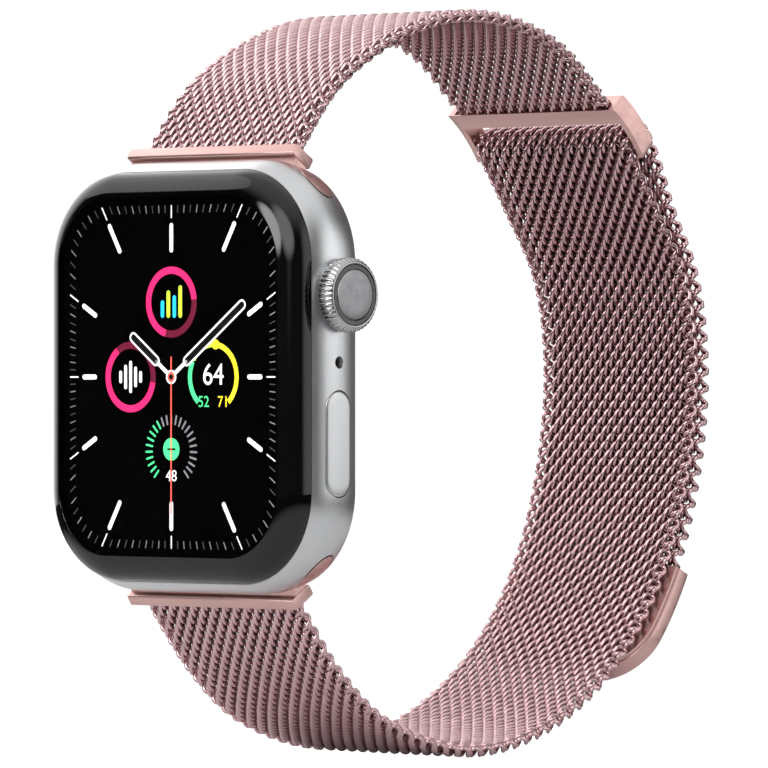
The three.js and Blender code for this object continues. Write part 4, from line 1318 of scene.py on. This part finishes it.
def tab_form(name, strip, low, high, inset, ease, material=None, steps=60):
    """A curved plate that follows the band, square at the mesh and rounded at its free end."""
    rings = []
    for i in range(steps + 1):
        t = i / steps
        distance = TAB_START + inset + (TAB_LENGTH - 2 * inset) * (1 - (1 - t) ** 1.6)
        past = max(0.0, distance - (TAB_END - TAB_CORNER))
        radius = TAB_CORNER - inset
        width = TAB_HALF - inset - radius + math.sqrt(max(0.0, radius * radius - past * past))
        turn = np.linspace(0, math.pi / 2, 5)
        corner = [(ease * (1 - math.cos(a)), ease * (1 - math.sin(a))) for a in turn]
        section = [(-width + x, low + n) for x, n in corner]
        section += [(width - x, low + n) for x, n in corner[::-1]]
        section += [(width - x, high - n) for x, n in corner]
        section += [(-width + x, high - n) for x, n in corner[::-1]]
        section = np.array(section)
        s = np.full(len(section), strip.length - distance)
        rings.append(strip.points(section[:, 0], s, section[:, 1]))
    return loft(name, rings, material, angle=50)


def build_tab(rose):
    strip = Strip(band_lines()[1], -1)
    shell_low = TAB_LOW + 0.35 + CLEARANCE
    shell = tab_form("tab_cover", strip, shell_low, TAB_LOW + TAB_THICKNESS, 0.0, 0.35, rose)
    pocket = tab_form("pocket", strip, shell_low - 1, TAB_LOW + TAB_THICKNESS - 0.6, 0.6, 0.05)
    combine(shell, [pocket], angle=50)
    place(shell, "closure", "rose_metal", "tab_shell")
    plate = tab_form("tab_base", strip, TAB_LOW, TAB_LOW + 0.35, 0.0, 0.08, rose)
    place(plate, "closure", "rose_metal", "tab_plate")


# ---- Pieces inside ------------------------------------------------------------------------

INNER_FINISHES = {
    "seal_rubber": ["glass_gasket", "crown_seal", "button_seal_1", "button_seal_2"],
    "circuit_board": ["main_board", "sensor_board"],
    "wound_copper": ["charging_coil"],
    "battery_foil": ["battery"],
    "dark_panel": ["display_panel"],
    "dark_polymer": [
        "processor_package",
        "speaker",
        "microphone",
        "crown_encoder",
        "crown_switch",
        "button_switch",
    ],
    "polished_steel": [
        "haptic_housing",
        "haptic_mass",
        "crown_stem",
        "crown_bushing",
        "crown_encoder_ring",
        "crown_thrust_plate",
        "button_retainer",
        "button_bracket",
        "lug_catch_upper",
        "lug_catch_lower",
    ],
}


def dress_inner():
    """Gives each frame node that stays its own procedural finish."""
    makers = {
        "seal_rubber": seal_rubber,
        "circuit_board": circuit_board,
        "wound_copper": wound_copper,
        "battery_foil": battery_foil,
        "dark_panel": dark_panel,
        "dark_polymer": dark_polymer,
        "polished_steel": polished_steel,
    }
    groups = dict(INNER_FINISHES)
    groups["polished_steel"] = groups["polished_steel"] + [
        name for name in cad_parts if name.startswith(("board_screw", "tab_magnet"))
    ]
    for finish, nodes in groups.items():
        material = makers[finish]()
        for node in nodes:
            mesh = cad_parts[node].data
            mesh.materials.clear()
            mesh.materials.append(material)


# ---- Studio -------------------------------------------------------------------------------


def area_lamp(name, place_, aim, size, power, tone=(1, 1, 1)):
    """A soft square lamp at a place, turned towards a point."""
    data = bpy.data.lights.new(name, "AREA")
    data.shape = "RECTANGLE"
    data.size, data.size_y = size
    data.energy = power
    data.color = tone
    lamp = bpy.data.objects.new(name, data)
    lamp.visible_glossy = False
    lamp.location = place_
    lamp.rotation_euler = (Vector(aim) - Vector(place_)).to_track_quat("-Z", "Y").to_euler()
    bpy.context.scene.collection.objects.link(lamp)
    return lamp


FLOOR_REACH = 0.35
FLOOR_GAP = 0.0004
SKY_GREY = 0.06
SKY_PATCHES = [
    ((0, 0, 1), 0.45, 0.9, 0.95),
    ((0, 0, -1), 0.3, 0.9, 0.06),
    ((-1, 0.3, 0.35), 0.75, 0.97, 2.0),
    ((0.87, 0.48, 0.1), 0.72, 0.97, 1.35),
    ((0.4, -0.85, 0.5), 0.88, 0.97, 3.0),
    ((-0.68, -0.73, 0.0), 0.80, 0.92, 0.01),
    ((-0.68, -0.30, 0.66), 0.935, 0.95, 1.6),
    ((-0.68, -0.10, -0.72), 0.92, 0.97, 0.25),
    ((-0.17, -0.93, 0.33), 0.955, 0.985, 7.0),
]


def studio_sky(nodes, links):
    """A grey room: a lamp overhead, pale walls at the sides and a dark one facing the dial."""
    direction = nodes.new("ShaderNodeTexCoord").outputs["Generated"]
    total = None
    for aim, start, end, shade in SKY_PATCHES:
        card = nodes.new("ShaderNodeVectorMath")
        card.operation = "DOT_PRODUCT"
        card.inputs[1].default_value = Vector(aim).normalized()
        links.new(direction, card.inputs[0])
        fade = nodes.new("ShaderNodeMapRange")
        fade.interpolation_type = "SMOOTHSTEP"
        for socket, number in zip(("From Min", "From Max", "To Min", "To Max"), (start, end, 0, 1)):
            fade.inputs[socket].default_value = number
        links.new(card.outputs["Value"], fade.inputs["Value"])
        mix = nodes.new("ShaderNodeMix")
        links.new(fade.outputs["Result"], mix.inputs["Factor"])
        if total:
            links.new(total, mix.inputs["A"])
        else:
            mix.inputs["A"].default_value = SKY_GREY
        mix.inputs["B"].default_value = shade
        total = mix.outputs["Result"]
    return total


def build_studio(settings):
    scene = bpy.context.scene
    ground = cad_bounds[0].z - FLOOR_GAP
    mesh = bpy.data.meshes.new("floor")
    ways = ((-1, -1), (1, -1), (1, 1), (-1, 1))
    corners = [(FLOOR_REACH * x, FLOOR_REACH * y, ground) for x, y in ways]
    mesh.from_pydata(corners, [], [(0, 1, 2, 3)])
    pale = Finish("pale_floor", settings.floor, 0.0, 0.9, Specular_IOR_Level=0.0)
    # Painted pool of light: the floor's colour is pale near the watch and fades to near black about 10 to
    # 15 cm out.
    distance = pale.nodes.new("ShaderNodeVectorMath")
    distance.operation = "LENGTH"
    pale.links.new(pale.coordinates, distance.inputs[0])
    painted_pool_distance = pale.nodes.new("ShaderNodeMath")
    painted_pool_distance.operation = "MULTIPLY_ADD"
    painted_pool_distance.inputs[1].default_value = 0.01
    pale.links.new(pale.noise(40), painted_pool_distance.inputs[0])
    pale.links.new(distance.outputs["Value"], painted_pool_distance.inputs[2])
    fade = pale.between(painted_pool_distance.outputs["Value"], 1, 0, 0.05, 0.2)
    pale.tint(fade, (0.02, 0.02, 0.02), settings.floor)
    seen = pale.nodes.new("ShaderNodeLightPath")
    pale.shader.inputs["Emission Color"].default_value = (1, 1, 1, 1)
    pale.links.new(seen.outputs["Is Camera Ray"], pale.shader.inputs["Emission Strength"])
    link("floor", mesh, pale.material)

    world = bpy.data.worlds.new("studio")
    scene.world = world
    world.use_nodes = True
    nodes, links = world.node_tree.nodes, world.node_tree.links
    sky = nodes["Background"]
    links.new(studio_sky(nodes, links), sky.inputs["Color"])
    white = nodes.new("ShaderNodeBackground")
    white.inputs["Color"].default_value = (1, 1, 1, 1)
    white.inputs["Strength"].default_value = 1.05
    seen = nodes.new("ShaderNodeLightPath")
    mix = nodes.new("ShaderNodeMixShader")
    links.new(seen.outputs["Is Camera Ray"], mix.inputs["Fac"])
    links.new(sky.outputs["Background"], mix.inputs[1])
    links.new(white.outputs["Background"], mix.inputs[2])
    links.new(mix.outputs["Shader"], nodes["World Output"].inputs["Surface"])

    centre = Vector((0.01177, 0.0093, -0.00072))
    area_lamp("key", (-0.30, -0.35, 0.60), centre, (0.35, 0.35), settings.key)
    area_lamp("side", (0.6, 0.25, 0.35), centre, (0.25, 0.5), settings.key * 0.5)

    data = bpy.data.cameras.new("camera")
    data.lens = settings.lens
    data.sensor_width = 36.0
    data.clip_start, data.clip_end = 0.01, 50
    camera = bpy.data.objects.new("camera", data)
    turn = settings.azimuth
    back = Vector((math.sin(turn), -math.cos(turn), 0.00052))
    camera.location = centre + back * settings.distance
    camera.rotation_euler = (-back).to_track_quat("-Z", "Y").to_euler()
    scene.collection.objects.link(camera)
    scene.camera = camera
    scene.view_settings.view_transform = "Standard"


# ---- Operators and panel ------------------------------------------------------------------


def shared(maker):
    """The one material of its kind, made the first time a piece asks for it."""
    return bpy.data.materials.get(maker.__name__) or maker()


class WATCH_OT_studio(bpy.types.Operator):
    """Lays the floor and sets the lamps and the camera"""

    bl_idname = "watch.studio"
    bl_label = "Studio"

    def execute(self, context):
        build_studio(context.scene.watch_studio)
        return {"FINISHED"}


class WATCH_OT_case(bpy.types.Operator):
    """Builds the case shell"""

    bl_idname = "watch.case"
    bl_label = "Case"

    def execute(self, context):
        build_case(shared(blasted_silver))
        return {"FINISHED"}


class WATCH_OT_crown(bpy.types.Operator):
    """Builds the crown"""

    bl_idname = "watch.crown"
    bl_label = "Crown"

    def execute(self, context):
        build_crown()
        return {"FINISHED"}


class WATCH_OT_side_button(bpy.types.Operator):
    """Builds the side button"""

    bl_idname = "watch.side_button"
    bl_label = "Side button"

    def execute(self, context):
        build_side_button(shared(blasted_silver))
        return {"FINISHED"}


class WATCH_OT_back(bpy.types.Operator):
    """Builds the back cover, its crystal and the release buttons"""

    bl_idname = "watch.back"
    bl_label = "Back"

    def execute(self, context):
        build_back(shared(blasted_silver))
        return {"FINISHED"}


class WATCH_OT_glass(bpy.types.Operator):
    """Builds the cover glass"""

    bl_idname = "watch.glass"
    bl_label = "Cover glass"

    def execute(self, context):
        build_glass()
        return {"FINISHED"}


class WATCH_OT_dial(bpy.types.Operator):
    """Builds the lit dial under the glass"""

    bl_idname = "watch.dial"
    bl_label = "Dial"

    def execute(self, context):
        build_dial(context.scene.watch_dial)
        return {"FINISHED"}


class WATCH_OT_lug_bars(bpy.types.Operator):
    """Builds the two lug bars"""

    bl_idname = "watch.lug_bars"
    bl_label = "Lug bars"

    def execute(self, context):
        build_adapters(shared(satin_rose))
        return {"FINISHED"}


class WATCH_OT_clasp_ring(bpy.types.Operator):
    """Builds the ring that the band runs through"""

    bl_idname = "watch.clasp_ring"
    bl_label = "Clasp ring"

    def execute(self, context):
        build_clasp(shared(satin_rose))
        return {"FINISHED"}


class WATCH_OT_tab(bpy.types.Operator):
    """Builds the cover and the plate of the tab"""

    bl_idname = "watch.tab"
    bl_label = "Magnetic tab"

    def execute(self, context):
        build_tab(shared(satin_rose))
        return {"FINISHED"}


class WATCH_OT_band(bpy.types.Operator):
    """Weaves the wire band"""

    bl_idname = "watch.band"
    bl_label = "Woven band"

    def execute(self, context):
        build_band(context.scene.watch_weave)
        return {"FINISHED"}


class WATCH_OT_inner(bpy.types.Operator):
    """Gives the pieces inside the case their finishes"""

    bl_idname = "watch.inner"
    bl_label = "Inner pieces"

    def execute(self, context):
        dress_inner()
        return {"FINISHED"}


OPERATORS = (
    WATCH_OT_studio,
    WATCH_OT_case,
    WATCH_OT_crown,
    WATCH_OT_side_button,
    WATCH_OT_back,
    WATCH_OT_glass,
    WATCH_OT_dial,
    WATCH_OT_lug_bars,
    WATCH_OT_clasp_ring,
    WATCH_OT_tab,
    WATCH_OT_band,
    WATCH_OT_inner,
)


class WATCH_PT_panel(bpy.types.Panel):
    bl_label = "Smartwatch"
    bl_idname = "WATCH_PT_panel"
    bl_space_type = "VIEW_3D"
    bl_region_type = "UI"
    bl_category = "Smartwatch"

    def draw(self, context):
        for operator in OPERATORS:
            self.layout.operator(operator.bl_idname)


SETTINGS = {
    "watch_metal": WatchMetalSettings,
    "watch_weave": WatchWeaveSettings,
    "watch_dial": WatchDialSettings,
    "watch_studio": WatchStudioSettings,
}


def register():
    for group in SETTINGS.values():
        bpy.utils.register_class(group)
    for name, group in SETTINGS.items():
        setattr(bpy.types.Scene, name, PointerProperty(type=group))
    for operator in (*OPERATORS, WATCH_PT_panel):
        bpy.utils.register_class(operator)


def unregister():
    for operator in (*OPERATORS, WATCH_PT_panel):
        bpy.utils.unregister_class(operator)
    for name, group in SETTINGS.items():
        delattr(bpy.types.Scene, name)
        bpy.utils.unregister_class(group)


def main():
    """Builds everything in order."""
    register()
    bpy.ops.watch.studio()
    bpy.ops.watch.case()
    bpy.ops.watch.crown()
    bpy.ops.watch.side_button()
    bpy.ops.watch.back()
    bpy.ops.watch.glass()
    bpy.ops.watch.dial()
    bpy.ops.watch.lug_bars()
    bpy.ops.watch.clasp_ring()
    bpy.ops.watch.tab()
    bpy.ops.watch.band()
    bpy.ops.watch.inner()
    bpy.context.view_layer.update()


if __name__ == "__main__":
    main()
